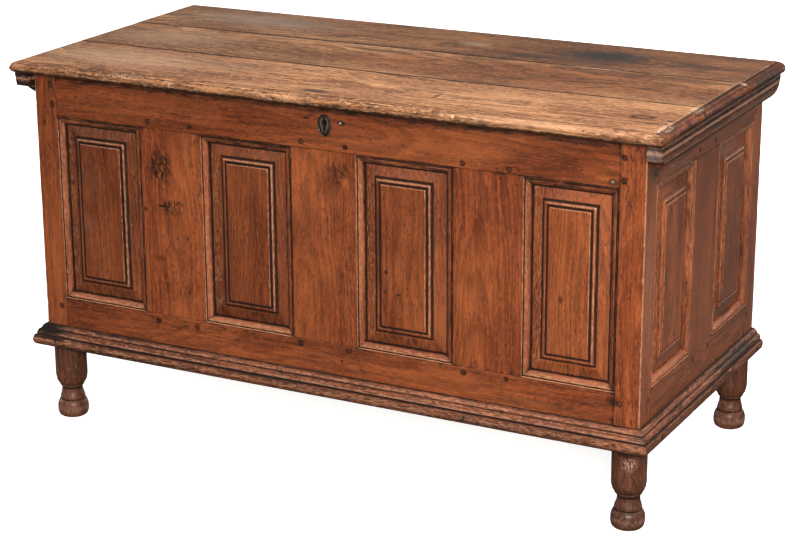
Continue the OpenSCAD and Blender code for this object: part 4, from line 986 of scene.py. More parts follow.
panelValues = {
    "step": 0.011, "tongue": 0.007, "back": 0.0163,
    "rub": (0.00018, 0.03, 0.008, 0.3, 2), "warp": (0.0005, 0.12),    # warp has a depth and a size
    "ends": (1.6, -1.0),     # how much more the bevels take at the bottom and the top
    # the bead and field arrises show their wear most on the right and top, which face the light: a painted
    # highlight
    "wornAndLit": {"bottom": 0.08, "right": 0.7, "top": 0.8, "left": 0.15},
    # painted shade on the bottom bevel, which faces down
    "bevelShade": {"bottom": 0.42, "right": 0.0, "top": 0.0, "left": 0.0},
    "paled": {"bottom": 0.0, "right": 0.2, "top": 0.25, "left": 0.42},      # rubbing of the bevel itself
    # dirt in the corner, with the painted shadow of the top and right mouldings
    "cornerDirtAndShade": {"bottom": 0.5, "right": 1.0, "top": 1.0, "left": 0.5},   # over the bevel's first 2 mm
    "bevelBand": (0.017, 0.034), "cornerBand": (0.0138, 0.0165),            # where the last three lie
    "bevel": (15.5, 35.0),   # the part of the profile that a wider bevel stretches
    # in from the opening's edge and depth below the frame's face, in mm, then wear and dirt
    "profile": [(-7.0, 10.3, 0, 0), (13.4, 10.3, 0, 1), (14.2, 10.28, 0, 1), (15.6, 9.96, 0, 0.7),
                (17.2, 9.6, 0, 0.1), (24.0, 8.13, 0, 0), (30.0, 6.84, 0, 0), (33.6, 6.06, 0, 0.15),
                (34.8, 5.8, 0, 0.6), (35.3, 5.95, 0, 1), (37.0, 5.8, 0, 1), (37.8, 5.1, 0, 1),
                (38.4, 4.1, 0.1, 0.8), (39.1, 3.1, 0.3, 0.4), (40.1, 2.3, 0.9, 0), (41.4, 1.8, 1, 0),
                (42.7, 1.78, 0.55, 0), (43.5, 2.1, 0.2, 0.3), (44.0, 2.8, 0.1, 0.9), (44.3, 3.3, 0, 1),
                (47.2, 3.3, 0, 1), (47.6, 2.7, 0, 0.9), (48.0, 1.6, 0.3, 0.3), (48.5, 0.85, 0.95, 0),
                (49.2, 0.55, 0.8, 0), (50.4, 0.5, 0.15, 0), (54.0, 0.5, 0, 0)],
}


def gridLoop(nu, nz):
    # a grid's border anticlockwise, as shares of its width and height
    return ([(i / nu, 0) for i in range(nu)] + [(1, j / nz) for j in range(nz)]
            + [(1 - i / nu, 1) for i in range(nu)] + [(0, 1 - j / nz) for j in range(nz)])


def gridFaces(nu, nz, ring, addPoint):
    # the quads of a grid whose border is a ring of points already made, and whose inner points are added here
    grid = {(round(a * nu), round(b * nz)): ring + i for i, (a, b) in enumerate(gridLoop(nu, nz))}
    for i in range(1, nu):
        for j in range(1, nz):
            grid[(i, j)] = addPoint(i / nu, j / nz)
    return [(grid[(i, j)], grid[(i + 1, j)], grid[(i + 1, j + 1)], grid[(i, j + 1)])
            for i in range(nu) for j in range(nz)]


def raisedPanel(node, face, opening, tone, wider, v=panelValues):
    # wider is how much more the bevels take on the left and the right, in mm
    u0, u1 = opening
    z0, z1 = sizes["openLow"], sizes["openHigh"]
    nu, nz = round((u1 - u0) / v["step"]), round((z1 - z0) / v["step"])
    seed = draw.uniform(0, 90)
    loop = gridLoop(nu, nz)
    local, wearAndHighlight, grimeAndShade = [], [], []

    def nearSide(u, z):
        far = {"bottom": z - z0, "right": u1 - u, "top": z1 - z, "left": u - u0}
        return min(far, key=far.get), min(far.values())

    def edges(inn):
        # the profile's place on the left, right, bottom and top
        share = min(1.0, max(0.0, (inn - v["bevel"][0]) / (v["bevel"][1] - v["bevel"][0])))
        left, right, low, high = (inn + more * share for more in wider + v["ends"])
        return u0 + left * 1e-3, u1 - right * 1e-3, z0 + low * 1e-3, z1 - high * 1e-3

    def add(u, z, depth, w, g):
        side, far = nearSide(u, z)
        local.append((u, z, depth + w * rubbedOff(v["rub"], (u, z, 0), (u, z, 0), seed)))
        # wear with a painted highlight by side, painted shade on the bottom bevel, and dirt with painted
        # shadow in the corner
        w *= v["wornAndLit"][side] if face == "front" else sideValues["wornAndLit"]
        if v["bevelBand"][0] < far < v["bevelBand"][1]:
            w, g = max(w, v["paled"][side]), max(g, v["bevelShade"][side])
        elif v["cornerBand"][0] < far < v["cornerBand"][1]:
            g = max(g, v["cornerDirtAndShade"][side])
        wearAndHighlight.append(w)
        grimeAndShade.append(g * (1 if face == "front" else sideValues["dirt"]))

    for inn, depth, w, g in v["profile"]:
        left, right, low, high = edges(inn)
        for a, b in loop:
            add(left + (right - left) * a, low + (high - low) * b, depth * 1e-3, w, g)
    n, rings = len(loop), len(v["profile"])

    def addField(a, b):
        # a point of the field, which is warped a little
        left, right, low, high = edges(v["profile"][-1][0])
        u, z = left + (right - left) * a, low + (high - low) * b
        warp, wide = v["warp"]
        add(u, z, v["profile"][-1][1] * 1e-3 + warp * max(0.0, bumpy((u, z, 0), wide, seed)), 0, 0)
        return len(local) - 1

    faces = ringFaces(rings, n) + gridFaces(nu, nz, (rings - 1) * n, addField)
    # the tongue's edge and the panel's back
    back = len(local)
    t = -v["tongue"]
    for a, b in loop:
        add(u0 + t + (u1 - u0 - 2 * t) * a, z0 + t + (z1 - z0 - 2 * t) * b, v["back"], 0, 0)
    faces += [(back + i, back + (i + 1) % n, (i + 1) % n, i) for i in range(n)]
    faces.append(tuple(back + i for i in range(n)))
    points = [onFace(face, u, depth, z) for u, z, depth in local]
    shift = someShift()
    grain = [(z + shift[0], u - (u0 + u1) / 2 + shift[1], depth + shift[2]) for u, z, depth in local]
    mesh = joinParts(node, [(points, faces, grain, wearAndHighlight, grimeAndShade)], tone)
    inward = Vector(onFace(face, 0, 1, 0)) - Vector(onFace(face, 0, 0, 0))
    bareFaces(mesh, inward)
    finishMesh(mesh, node, "case", "case_wood", "case", "raw")


# the front panels darken towards the left: a painted falloff of the light from the right
panelTonesAndShade = {"front": (-0.9, -0.8, -0.45, 0.0), "ends": (0.0, -0.6, -0.2, 0.1)}
panelWider = ((0.5, 0.0), (4.5, 0.0), (-0.5, 4.5), (-2.0, 1.0))
for i, opening in enumerate(frontOpenings):
    raisedPanel("front_panel_%d" % (i + 1), "front", opening, panelTonesAndShade["front"][i], panelWider[i])
for (side, which, i), tone in zip(endPlaces, panelTonesAndShade["ends"]):
    raisedPanel("%s_%s_panel" % (side, which), side, endOpenings[i], tone, (0.0, 0.0))
print("raised panels made")

# Base moulding

baseValues = {
    "low": 0.151, "gap": 0.0003, "step": 0.006, "rub": (0.0008, 0.04, 0.012, 0.2, 2.5),
    # out from the case and up from the rails' underside, in mm, then wear and dirt
    "profile": [(0, 0, 0, 0), (17.4, 0, 0, 0.8), (18.6, 0.4, 0.2, 0.5), (20.4, 2.4, 0.4, 0.3),
                (21.4, 5.2, 0.4, 0.1), (22.1, 7.8, 0.5, 0.2), (22.5, 11.5, 0.6, 0.1), (22.2, 14.6, 0.5, 0.2),
                (21.5, 17.4, 0.3, 0.2), (20.9, 18.6, 0.2, 0.3), (20.0, 19.25, 0.1, 0.7), (16.9, 19.9, 0, 1),
                (16.55, 20.2, 0, 1), (16.55, 21.3, 0, 1), (17.3, 21.7, 0.2, 0.7), (17.6, 22.6, 0.8, 0),
                (17.3, 24.5, 0.6, 0.1), (16.5, 26.8, 0.4, 0.2), (15.2, 28.8, 0.3, 0.2),
                (13.2, 30.2, 0.3, 0.2), (11.9, 30.6, 0.1, 0.6),
                (11.2, 30.9, 0, 1), (10.6, 31.3, 0, 1), (10.3, 32.0, 0.1, 0.5), (9.7, 34.0, 0.6, 0),
                (8.3, 36.3, 0.5, 0.1), (6.5, 37.8, 0.2, 0.4), (4.6, 39.1, 0.2, 0.6), (3.3, 39.9, 0.1, 0.8),
                (2.2, 40.0, 0, 0.95), (0, 40.0, 0, 1)],
    "sideWorn": 0.35,
    # the worn left front corner, how far it reaches, and its dirt
    "slope": ((22.5, 11.5), (2.2, 40.0)), "sloped": 0.07, "slopeDirt": 0.85,
}


def baseMoulding(node, face, half, mitre0, mitre1, v=baseValues):
    n, count = len(v["profile"]), round(2 * half / v["step"])
    seed = draw.uniform(0, 90)
    points, grain, wearAndHighlight, grimeAndShade = [], [], [], []
    shift = someShift()
    (out0, up0), (out1, up1) = v["slope"]
    for i in range(count + 1):
        for out, up, w, g in v["profile"]:
            s0 = -half + (v["gap"] - out * 1e-3 if mitre0 else 0)
            s1 = half - (v["gap"] - out * 1e-3 if mitre1 else 0)
            s = s0 + (s1 - s0) * i / count
            rub = w * rubbedOff(v["rub"], (s, up * 0.004, 0), (s, up * 0.008, 0), seed)
            corner = {"front": s + half, "left": half - s}.get(face, 9.0)
            gone = math.exp(-(max(0.0, corner) / v["sloped"]) ** 2) if up > up0 else 0.0
            line = out0 + (out1 - out0) * (up - up0) / (up1 - up0)
            g = max(g, v["slopeDirt"] * gone)
            reach = (out - max(0.0, out - line) * gone) * 1e-3 - rub * (1 if out > 1 else 0)
            top = up * 1e-3 - (rub * 0.6 if up > 30 else 0)
            points.append(onFace(face, s, -reach, v["low"] + top))
            grain.append((s + shift[0], up * 1e-3 + shift[1], reach + shift[2]))
            wearAndHighlight.append(w if face == "front" else w * v["sideWorn"])
            grimeAndShade.append(g)
    faces = ringFaces(count + 1, n, True)
    mesh = joinParts(node, [(points, faces, grain, wearAndHighlight, grimeAndShade)], draw.uniform(-0.2, 0.2))
    finishMesh(mesh, node, "case", "base_wood", "base")


nailRings = [(place, (0.0065, 0.0065, 0.006), nearBlack, 0.9, 0.9, 0.5)
             for place, aim, long in fixings("base_nails")]
baseSpots = [
    ((-0.605, -0.292, 0.184), (0.085, 0.060, 0.017), "#170e0a", 0.92, 1.0, 0.6),
    ((-0.450, -0.292, 0.189), (0.120, 0.012, 0.005), "#1a100c", 0.8, 1.2, 0.7),
    ((-0.250, -0.300, 0.170), (0.380, 0.012, 0.0016), "#120a07", 0.85, 2.6, 0.5),
    ((0.150, -0.300, 0.164), (0.420, 0.012, 0.0014), "#120a07", 0.8, 2.6, 0.5),
    ((-0.380, -0.300, 0.157), (0.260, 0.012, 0.0040), "#1c110c", 0.8, 1.8, 0.6),
    ((0.300, -0.300, 0.156), (0.300, 0.012, 0.0030), "#1c110c", 0.75, 1.8, 0.6),
    ((0.605, -0.292, 0.180), (0.020, 0.020, 0.012), "#2a1811", 0.7, 1.2, 0.7),
    ((0.612, 0.180, 0.180), (0.020, 0.110, 0.016), "#1d120d", 0.8, 1.4, 0.7),
]
finishes["base"] = woodFinish("base moulding walnut", baseLook, baseSpots + nailRings)
baseMoulding("base_moulding_front", "front", 0.6, True, True)
baseMoulding("base_moulding_right", "right", 0.287, True, False)
baseMoulding("base_moulding_left", "left", 0.287, False, True)
print("base moulding made")

# Lid boards

lidValues = {
    "low": 0.6783, "step": 0.0045, "endDirt": 0.32, "endWorn": 0.4, "band": 0.03,
    # depth and size of the rubbed hollows and of the hollows in the top
    "rub": (0.0009, 0.035), "uneven": (0.0004, 0.09),
    # depth, size and threshold of the chips, and what chewed places add
    "chips": (0.0032, 0.009, 0.34, 0.4),
    # the fillet's reach in from the nose, and how far the front's is worn away
    "fillet": (10, 17.5), "flatter": 0.75,
    # in from the nose, in from a plain edge, up from the underside, in mm, then wear and dirt
    "rings": [(30, 30, 0, 0, 0), (12, 5, 0, 0, 0), (7.4, 0.8, 0, 0.1, 0), (6.6, 0.5, 0.4, 0.2, 0),
              (4.4, 0.2, 1.6, 0.2, 0), (2.2, 0, 3.1, 0.3, 0), (1.1, 0, 4.7, 0.4, 0), (0.4, 0, 6.6, 0.5, 0.1),
              (0.05, 0, 8.6, 0.4, 0.3), (0.0, 0, 10.5, 0.3, 0.45), (0.35, 0, 12.4, 0.3, 0.35),
              (1.3, 0, 14.4, 0.4, 0.15), (2.9, 0, 16.4, 0.5, 0.1), (5.2, 0, 18.2, 0.4, 0),
              (8.0, 0, 19.6, 0.4, 0), (10.8, 0.05, 20.4, 0.2, 0.2), (12.0, 0.1, 20.5, 0, 0.95),
              (12.6, 0.15, 20.6, 0, 0.9), (13.0, 0.2, 20.95, 0.5, 0.1), (14.2, 0.25, 21.0, 0.6, 0),
              (14.7, 0.3, 20.75, 0, 0.9), (15.5, 0.4, 20.8, 0, 1), (15.9, 0.8, 21.3, 0, 0.9),
              (16.3, 1.5, 21.8, 0.5, 0.2), (17.2, 2.4, 22.0, 0.6, 0), (20.5, 4.0, 22.0, 0.1, 0),
              (27, 9, 22.0, 0, 0)],
}


def lidBoard(node, halfLong, yFront, yBack, mouldedFront, chewed, tone, v=lidValues):
    # a board from front to back edge lines, each given as y at the left end and y at the right end
    x0, x1 = -halfLong, halfLong
    nx, ny = round((x1 - x0) / v["step"]), round((yBack[0] - yFront[0]) / v["step"])
    seed = draw.uniform(0, 90)
    points, wearAndHighlight, grimeAndShade = [], [], []

    def add(a, b, nose, plain, up, w, g):
        front = nose if mouldedFront else plain
        x = x0 + nose + (x1 - x0 - 2 * nose) * a
        y = (1 - b) * (yFront[0] + (yFront[1] - yFront[0]) * a + front) + b * (
            yBack[0] + (yBack[1] - yBack[0]) * a - plain)
        # rubbing and chips near the moulded edges, and the fillet worn off along the front
        toEnd = min(x - x0, x1 - x)
        toNose = y - yFront[0] if mouldedFront else 9.0
        near = min(toEnd, toNose)
        inn = nose * 1e3
        if toNose < min(toEnd, 0.05) and v["fillet"][0] < inn < v["fillet"][1] and up > 0.015:
            t = (inn - 8.0) / 10.0
            up += (0.0196 + 0.0024 * math.sin(t * math.pi / 2) - up) * v["flatter"]
            w, g = 0.3, g * 0.55
        if x > 0 and toEnd < toNose and inn < 15.5:
            w, g = w * v["endWorn"], max(g, v["endDirt"])
        if (b > 0.999 or b < 0.001 and not mouldedFront) and toEnd > 0.02:
            w, g = 0, math.exp(-max(0.0, plain - 0.0012) / 0.0015) * (0.3 if y > 0.28 else 1.0)
        rub = w * max(0.0, bumpy((x, y, up), v["rub"][1], seed)) * v["rub"][0]
        chip = 0.0
        if near < v["band"]:
            deep, wide, least, more = v["chips"]
            rough = sum(s * max(0.0, 1 - math.dist((x, y), c) / r) for c, r, s in chewed)
            chip = max(0.0, bumpy((x, y, up * 2), wide, seed) - least + more * rough) * deep * (1 + rough)
            chip *= min(1.0, w * 1.6)
            g = max(g, min(0.95, chip * 900 * max(0.0, bumpy((x, y, up * 3), 0.0065, seed + 7) + 0.1)))
        push = (rub + chip) * (0.8 if up < 0.021 else 0.3)
        if toEnd < v["band"]:
            x += push if a < 0.5 else -push
        if toNose < v["band"]:
            y += push
        z = v["low"] + up - (rub * 0.5 + chip * 0.7 if up > 0.012 else 0)
        if up > 0.0215:
            z -= v["uneven"][0] * max(0.0, bumpy((x * 0.4, y, 0), v["uneven"][1], seed))
        points.append((x, y, z))
        wearAndHighlight.append(min(1.0, w + chip * 300))
        grimeAndShade.append(g)

    def addFlat(ring):
        # adds a point of the flat face inside a ring
        nose, plain, up, w, g = v["rings"][ring]

        def at(a, b):
            add(a, b, nose * 1e-3, plain * 1e-3, up * 1e-3, 0, 0)
            return len(points) - 1
        return at

    for nose, plain, up, w, g in v["rings"]:
        for a, b in gridLoop(nx, ny):
            add(a, b, nose * 1e-3, plain * 1e-3, up * 1e-3, w, g)
    n, rings = 2 * (nx + ny), len(v["rings"])
    underside = gridFaces(nx, ny, 0, addFlat(0))
    top = gridFaces(nx, ny, (rings - 1) * n, addFlat(-1))
    faces = ringFaces(rings, n) + [quad[::-1] for quad in underside] + top
    shift = someShift(0.05)
    middle = (yFront[0] + yBack[0]) / 2
    grain = [(x + shift[0], y - middle + shift[1], z - v["low"] + shift[2]) for x, y, z in points]
    mesh = joinParts(node, [(points, faces, grain, wearAndHighlight, grimeAndShade)], tone)
    bareFaces(mesh, Vector((0, 0, -1)))
    finishMesh(mesh, node, "lid", "lid_wood", "lid", "raw", smooth=38)


# Places where the edge is chewed, as (centre, radius, strength)
chewed = [((0.63, -0.25), 0.09, 1.0), ((0.63, -0.11), 0.05, 0.8), ((-0.42, -0.305), 0.14, 0.7),
          ((-0.63, -0.3), 0.06, 0.7), ((0.2, -0.305), 0.2, 0.5), ((0.635, 0.05), 0.06, 0.5)]
lidBoard("lid_front_board", 0.636, (-0.30815, -0.30815), (-0.09915, -0.09915), True, chewed, 0.75)
lidBoard("lid_middle_board", 0.636, (-0.09675, -0.09875), (0.10185, 0.10185), False, chewed, -0.3)
lidBoard("lid_rear_board", 0.6375, (0.10225, 0.10225), (0.29985, 0.29985), False, chewed, -0.5)
print("lid boards made")

# Cleats, and the plain boards inside and behind

# heights of the lit and shaded lines painted along the cleats: painted highlights and painted shade for the
# light and shade of their moulding
cleatLines = {"rubbed": (0.667, 0.648), "dirty": (0.6735, 0.6605, 0.640), "wide": 0.0028}


def cleatLitLines(p, v=cleatLines):
    return 0.7 if min(abs(p.z - z) for z in v["rubbed"]) < v["wide"] else 0.15


def cleatShadeLines(points, v=cleatLines):
    return np.max([np.exp(-np.abs(points[:, 2] - z) / v["wide"]) for z in v["dirty"]], axis=0) * 0.9


for name, tone in (("left_cleat", -1.5), ("right_cleat", -0.2)):
    dressMember(name, "y", tone, body="lid", slotName="base_wood", finish="cleat", arris=0.0012,
                wornAndLit=cleatLitLines, grimeAndShadeAt=cleatShadeLines)


def dressBoards(node, axis, tone):
    # several bare boards in one node: their own mesh, merged
    bm = nodeMesh(node)
    bmesh.ops.triangulate(bm, faces=bm.faces)
    points = placesOf(bm.verts)
    clean = np.zeros(len(points))
    mesh = toMesh(bm, node)
    writeMasks(mesh, woodPlace(points, axis, someShift()), clean, clean, tone)
    finishMesh(mesh, node, "case", "inner_wood", "raw", smooth=34)


dressBoards("back_muntins", "z", -0.5)
dressBoards("back_panels", "z", 0.4)
dressBoards("bottom_boards", "y", 0.0)

# Feet turned from a height rule

footValues = {
    "points": 150, "sides": 64, "rearTone": 0.5,
    # knocks and turning marks, each as (depth, size), and how strong a knock has to be
    "knocks": (0.0016, 0.018), "marks": (0.0002, 0.003), "least": 0.2,
    # height and reach in mm, then how much: rubbed places, and dirty quirks
    "rubbed": [(16, 9, 0.6), (64.5, 1.4, 0.5)], "sole": (2.5, 0.8),
    "dirty": [(57.3, 1.8, 1.2), (34.4, 1.3, 1.3), (66.2, 1.0, 0.9)], "top": (151, 8, 0.6),
    # height in mm and radius in mm
    "rule": [(0, 23.6), (1.2, 25.3), (3.5, 27.4), (8, 29.0), (15, 29.7), (23, 29.0), (29, 27.1), (32, 25.2),
             (34, 23.5), (35, 23.7), (36.5, 23.9), (40, 23.4), (44, 22.2), (48, 21.0), (53, 20.15),
             (56, 20.1), (57.2, 19.7), (58.5, 20.4), (61, 22.2), (63.2, 23.7), (64.2, 24.0), (65.4, 24.0),
             (66.2, 24.6), (69, 26.6), (74, 28.6), (80, 29.8), (86, 30.3), (100, 30.3), (151, 30.3)],
}


def ruleCurve(tree, factor, rule, handles):
    # a share of the widest radius, by the share of the height, from (height, radius) pairs
    n = addNode(tree, "ShaderNodeFloatCurve", {"Value": factor})
    curve = n.mapping.curves[0]
    low, high, wide = rule[0][0], rule[-1][0], max(r for h, r in rule)
    for i, (h, r) in enumerate(rule):
        if i == 0:
            curve.points[0].location = (0, r / wide)
        elif i == len(rule) - 1:
            curve.points[-1].location = (1, r / wide)
        else:
            curve.points.new((h - low) / (high - low), r / wide)
    for p in curve.points:
        p.handle_type = handles
    n.mapping.update()
    return n.outputs[0]


def newForm(name, rule, v, *inputs):
    # a Geometry Nodes tree for something turned from a rule, and what its named inputs give
    tree = bpy.data.node_groups.new(name, "GeometryNodeTree")
    length, wide = (rule[-1][0] - rule[0][0]) * 1e-3, max(r for h, r in rule) * 1e-3
    for key, kind, start in inputs + (("Length", "Float", length), ("Widest", "Float", wide),
                                      ("Sides", "Int", v["sides"]), ("Points", "Int", v["points"]),
                                      ("Finish", "Material", None)):
        socket = tree.interface.new_socket(key, in_out="INPUT", socket_type="NodeSocket" + kind)
        if start is not None:
            socket.default_value = start
    tree.interface.new_socket("Geometry", in_out="OUTPUT", socket_type="NodeSocketGeometry")
    return tree, tree.nodes.new("NodeGroupInput").outputs


def turned(tree, given, rule, start, end, handles):
    # a line whose radius follows the rule, swept by a circle
    line = nodeOut(tree, "GeometryNodeCurvePrimitiveLine", {"Start": start, "End": end})
    line = nodeOut(tree, "GeometryNodeResampleCurve", {"Curve": line, "Count": given["Points"]})
    factor = addNode(tree, "GeometryNodeSplineParameter").outputs["Factor"]
    radius = calc(tree, "MULTIPLY", ruleCurve(tree, factor, rule, handles), given["Widest"])
    ring = nodeOut(tree, "GeometryNodeCurvePrimitiveCircle", {"Resolution": given["Sides"], "Radius": 1.0})
    return nodeOut(tree, "GeometryNodeCurveToMesh", {"Curve": line, "Profile Curve": ring, "Scale": radius,
                                                     "Fill Caps": True})


def finishForm(tree, given, form):
    form = nodeOut(tree, "GeometryNodeRealizeInstances", {"Geometry": form})
    form = nodeOut(tree, "GeometryNodeSetMaterial", {"Geometry": form, "Material": given["Finish"]})
    tree.links.new(form, tree.nodes.new("NodeGroupOutput").inputs[0])
    return tree


def footTree(v):
    tree, given = newForm("turned foot", v["rule"], v, ("Place", "Vector", (0, 0, 0)))
    top = nodeOut(tree, "ShaderNodeCombineXYZ", {2: given["Length"]})
    foot = turned(tree, given, v["rule"], (0.0, 0.0, 0.0), top, "AUTO_CLAMPED")
    foot = nodeOut(tree, "GeometryNodeSetPosition", {"Geometry": foot, "Offset": given["Place"]})
    return finishForm(tree, given, foot)


def evaluated(tree, values, base=None):
    # the plain mesh that a Geometry Nodes tree makes, with its inputs set by their identifiers
    mesh = base or bpy.data.meshes.new("base")
    host = bpy.data.objects.new("host", mesh)
    bpy.context.scene.collection.objects.link(host)
    modifier = host.modifiers.new("tree", "NODES")
    modifier.node_group = tree
    for item in tree.interface.items_tree:
        if item.item_type == "SOCKET" and item.in_out == "INPUT" and item.name in values:
            modifier[item.identifier] = values[item.name]
    graph = bpy.context.evaluated_depsgraph_get()
    graph.update()
    made = bpy.data.meshes.new_from_object(host.evaluated_get(graph))
    bpy.data.objects.remove(host)
    return made


turnedFoot = footTree(footValues)


def makeFoot(node, x, y, v=footValues):
    mesh = evaluated(turnedFoot, {"Place": (x, y, 0.0), "Finish": finishes["foot"]})
    bm = bmesh.new()
    bm.from_mesh(mesh)
    bmesh.ops.recalc_face_normals(bm, faces=bm.faces)
    seed = draw.uniform(0, 90)
    wearAndHighlight, grimeAndShade = [], []
    for p in bm.verts:
        d = Vector((p.co.x - x, p.co.y - y, 0))
        if d.length > 1e-6:
            knock = max(0.0, bumpy(p.co, v["knocks"][1], seed) - v["least"]) * v["knocks"][0]
            knock += v["marks"][0] * bumpy((0, 0, p.co.z), v["marks"][1], seed)
            p.co -= d.normalized() * max(0.0, knock)
        z = p.co.z * 1000
        w, g = (sum(much * math.exp(-((z - at) / reach) ** 2) for at, reach, much in v[key])
                for key in ("rubbed", "dirty"))
        wearAndHighlight.append(min(1.0, w + v["sole"][1] * math.exp(-z / v["sole"][0])))
        grimeAndShade.append(min(1.0, g + v["top"][2] * math.exp(-(v["top"][0] - z) / v["top"][1])))
    points = placesOf(bm.verts)
    bm.to_mesh(mesh)
    bm.free()
    mesh.name = node
    shift = someShift(0.02)
    tone = draw.uniform(-0.2, 0.2) + (v["rearTone"] if y > 0 else 0)
    writeMasks(mesh, (points - np.array((x, y, 0)))[:, (2, 0, 1)] + np.array(shift), wearAndHighlight, grimeAndShade, tone)
    mesh.materials.clear()
    finishMesh(mesh, node, "case", "foot_wood", "foot", smooth=45)


for side, x in (("left", -0.5733), ("right", 0.5733)):
    makeFoot("front_%s_foot" % side, x, -0.25045)
    makeFoot("rear_%s_foot" % side, x, 0.26415)
print("feet turned")

# Pegs and nails, one forged or whittled form on each place of the node

fixingValues = {
    "sides": 11, "points": 12, "seed": 5, "uneven": 0.07,
    # depth below the outer end and radius, in mm
    "peg": [(-22.4, 4.3), (-3, 4.45), (-0.35, 4.42), (-0.1, 4.2), (0, 3.7)],
    "nail": [(-1.5, 1.5), (-1.2, 2.5), (-0.75, 2.8), (-0.4, 2.5), (0, 0.9)],
    "shank": 0.0016, "shankTip": 0.0006,
    "dirt": (0.75, 0.0045, 0.0012),    # strength, middle and width of the ring of dirt round an outer end
}


def fixingTree(name, rule, shank, v):
    # a form turned from a rule on every point, its top along the point's aim, with a shank below it or none
    tree, given = newForm(name, rule, v, ("Geometry", "Geometry", None), ("Shank Radius", "Float", shank),
                          ("Uneven", "Float", v["uneven"]), ("Seed", "Int", v["seed"]))
    foot = nodeOut(tree, "ShaderNodeCombineXYZ", {2: calc(tree, "MULTIPLY", given["Length"], -1.0)})
    form = turned(tree, given, rule, foot, (0.0, 0.0, 0.0), "VECTOR")
    aim = nodeOut(tree, "GeometryNodeInputNamedAttribute", {"Name": "aim"}, data_type="FLOAT_VECTOR")
    turn = nodeOut(tree, "FunctionNodeAlignRotationToVector", {"Vector": aim}, axis="Z")
    spin = addNode(tree, "FunctionNodeRandomValue", {2: 0.0, 3: 6.28, "Seed": given["Seed"]}).outputs[1]
    own = nodeOut(tree, "ShaderNodeCombineXYZ", {2: spin})
    own = nodeOut(tree, "FunctionNodeEulerToRotation", {0: own})
    turn = nodeOut(tree, "FunctionNodeRotateRotation", {"Rotation": turn, "Rotate By": own},
                   rotation_space="LOCAL")
    least = calc(tree, "SUBTRACT", 1.0, given["Uneven"])
    girth = addNode(tree, "FunctionNodeRandomValue", {2: least, 3: 1.0, "Seed": given["Seed"]}).outputs[1]
    size = nodeOut(tree, "ShaderNodeCombineXYZ", {0: girth, 1: 1.0, 2: 1.0})
    forms = [(form, size)]
    if shank:
        rod = nodeOut(tree, "GeometryNodeMeshCone", {"Vertices": 4, "Side Segments": 2, "Fill Segments": 1,
                                                     "Radius Top": given["Shank Radius"],
                                                     "Radius Bottom": v["shankTip"], "Depth": 1.0})
        rod = nodeOut(tree, "GeometryNodeTransform", {"Geometry": rod, "Translation": (0.0, 0.0, -1.0)})
        long = nodeOut(tree, "GeometryNodeInputNamedAttribute", {"Name": "long"}, data_type="FLOAT")
        forms.append((rod, nodeOut(tree, "ShaderNodeCombineXYZ", {0: 1.0, 1: 1.0, 2: long})))
    both = tree.nodes.new("GeometryNodeJoinGeometry")
    for form, size in forms:
        wires = {"Points": given["Geometry"], "Instance": form, "Rotation": turn, "Scale": size}
        tree.links.new(nodeOut(tree, "GeometryNodeInstanceOnPoints", wires), both.inputs[0])
    toned = addNode(tree, "FunctionNodeRandomValue", {2: -1.0, 3: 1.0, "Seed": given["Seed"]}).outputs[1]
    wires = {"Geometry": both.outputs[0], "Name": "tone", "Value": toned}
    kept = nodeOut(tree, "GeometryNodeStoreNamedAttribute", wires, data_type="FLOAT", domain="INSTANCE")
    return finishForm(tree, given, kept)


whittledPeg = fixingTree("whittled peg", fixingValues["peg"], 0.0, fixingValues)
forgedNail = fixingTree("forged nail", fixingValues["nail"], fixingValues["shank"], fixingValues)


def drive(node, tree, body, slotName, finish, v=fixingValues):
    # a peg or nail on each place of the node
    places = fixings(node)
    base = bpy.data.meshes.new(node + " places")
    base.from_pydata([place for place, aim, long in places], [], [])
    base.attributes.new("aim", "FLOAT_VECTOR", "POINT").data.foreach_set(
        "vector", np.array([aim for place, aim, long in places], "f4").ravel())
    base.attributes.new("long", "FLOAT", "POINT").data.foreach_set(
        "value", np.array([long - 0.001 for place, aim, long in places], "f4"))
    mesh = evaluated(tree, {"Finish": finishes[finish], "Seed": draw.randrange(99)}, base)
    outward(mesh)
    points = placesOf(mesh.vertices)
    tones = np.array([d.value for d in mesh.attributes["tone"].data])
    for key in ("aim", "long", "tone"):
        if key in mesh.attributes:
            mesh.attributes.remove(mesh.attributes[key])
    nearest = np.array([min(math.dist(p, place) for place, aim, long in places) for p in points])
    strength, ring, reach = v["dirt"]
    grimeAndShade = strength * np.exp(-((nearest - ring) / reach) ** 2)
    writeMasks(mesh, points[:, (2, 0, 1)], np.zeros(len(points)), grimeAndShade, tones)
    mesh.name = node
    mesh.materials.clear()
    finishMesh(mesh, node, body, slotName, finish)


drive("frame_pegs", whittledPeg, "case", "peg_wood", "peg")
drive("base_nails", forgedNail, "case", "iron", "nail")
drive("lid_nails", forgedNail, "lid", "iron", "iron")
drive("hardware_nails", forgedNail, "case", "iron", "iron")
print("pegs and nails driven")

# Iron fittings

ironValues = {"arris": 0.00025}


def dressIron(node, body, v=ironValues):
    # the fitting's own mesh with its arrises broken
    bm = nodeMesh(node)
    bmesh.ops.dissolve_limit(bm, angle_limit=0.02, verts=bm.verts, edges=bm.edges, delimit={"NORMAL"})
    sharp = [e for e in bm.edges if len(e.link_faces) == 2 and e.calc_face_angle(0) > 0.9]
    bmesh.ops.bevel(bm, geom=sharp, offset=v["arris"], segments=2, profile=0.5, affect="EDGES",
                    clamp_overlap=True)
    bmesh.ops.recalc_face_normals(bm, faces=bm.faces)
    finishMesh(toMesh(bm, node), node, body, "iron", "iron")


for node, body in (("hinge_leaves", "case"), ("hinge_straps", "lid"), ("hinge_pins", "case"),
                   ("lock_case", "case"), ("lock_bolt", "bolt"), ("lock_staple", "lid")):
    dressIron(node, body)

# The escutcheon: an oval plate, domed inside a raised rim, pierced by the keyhole

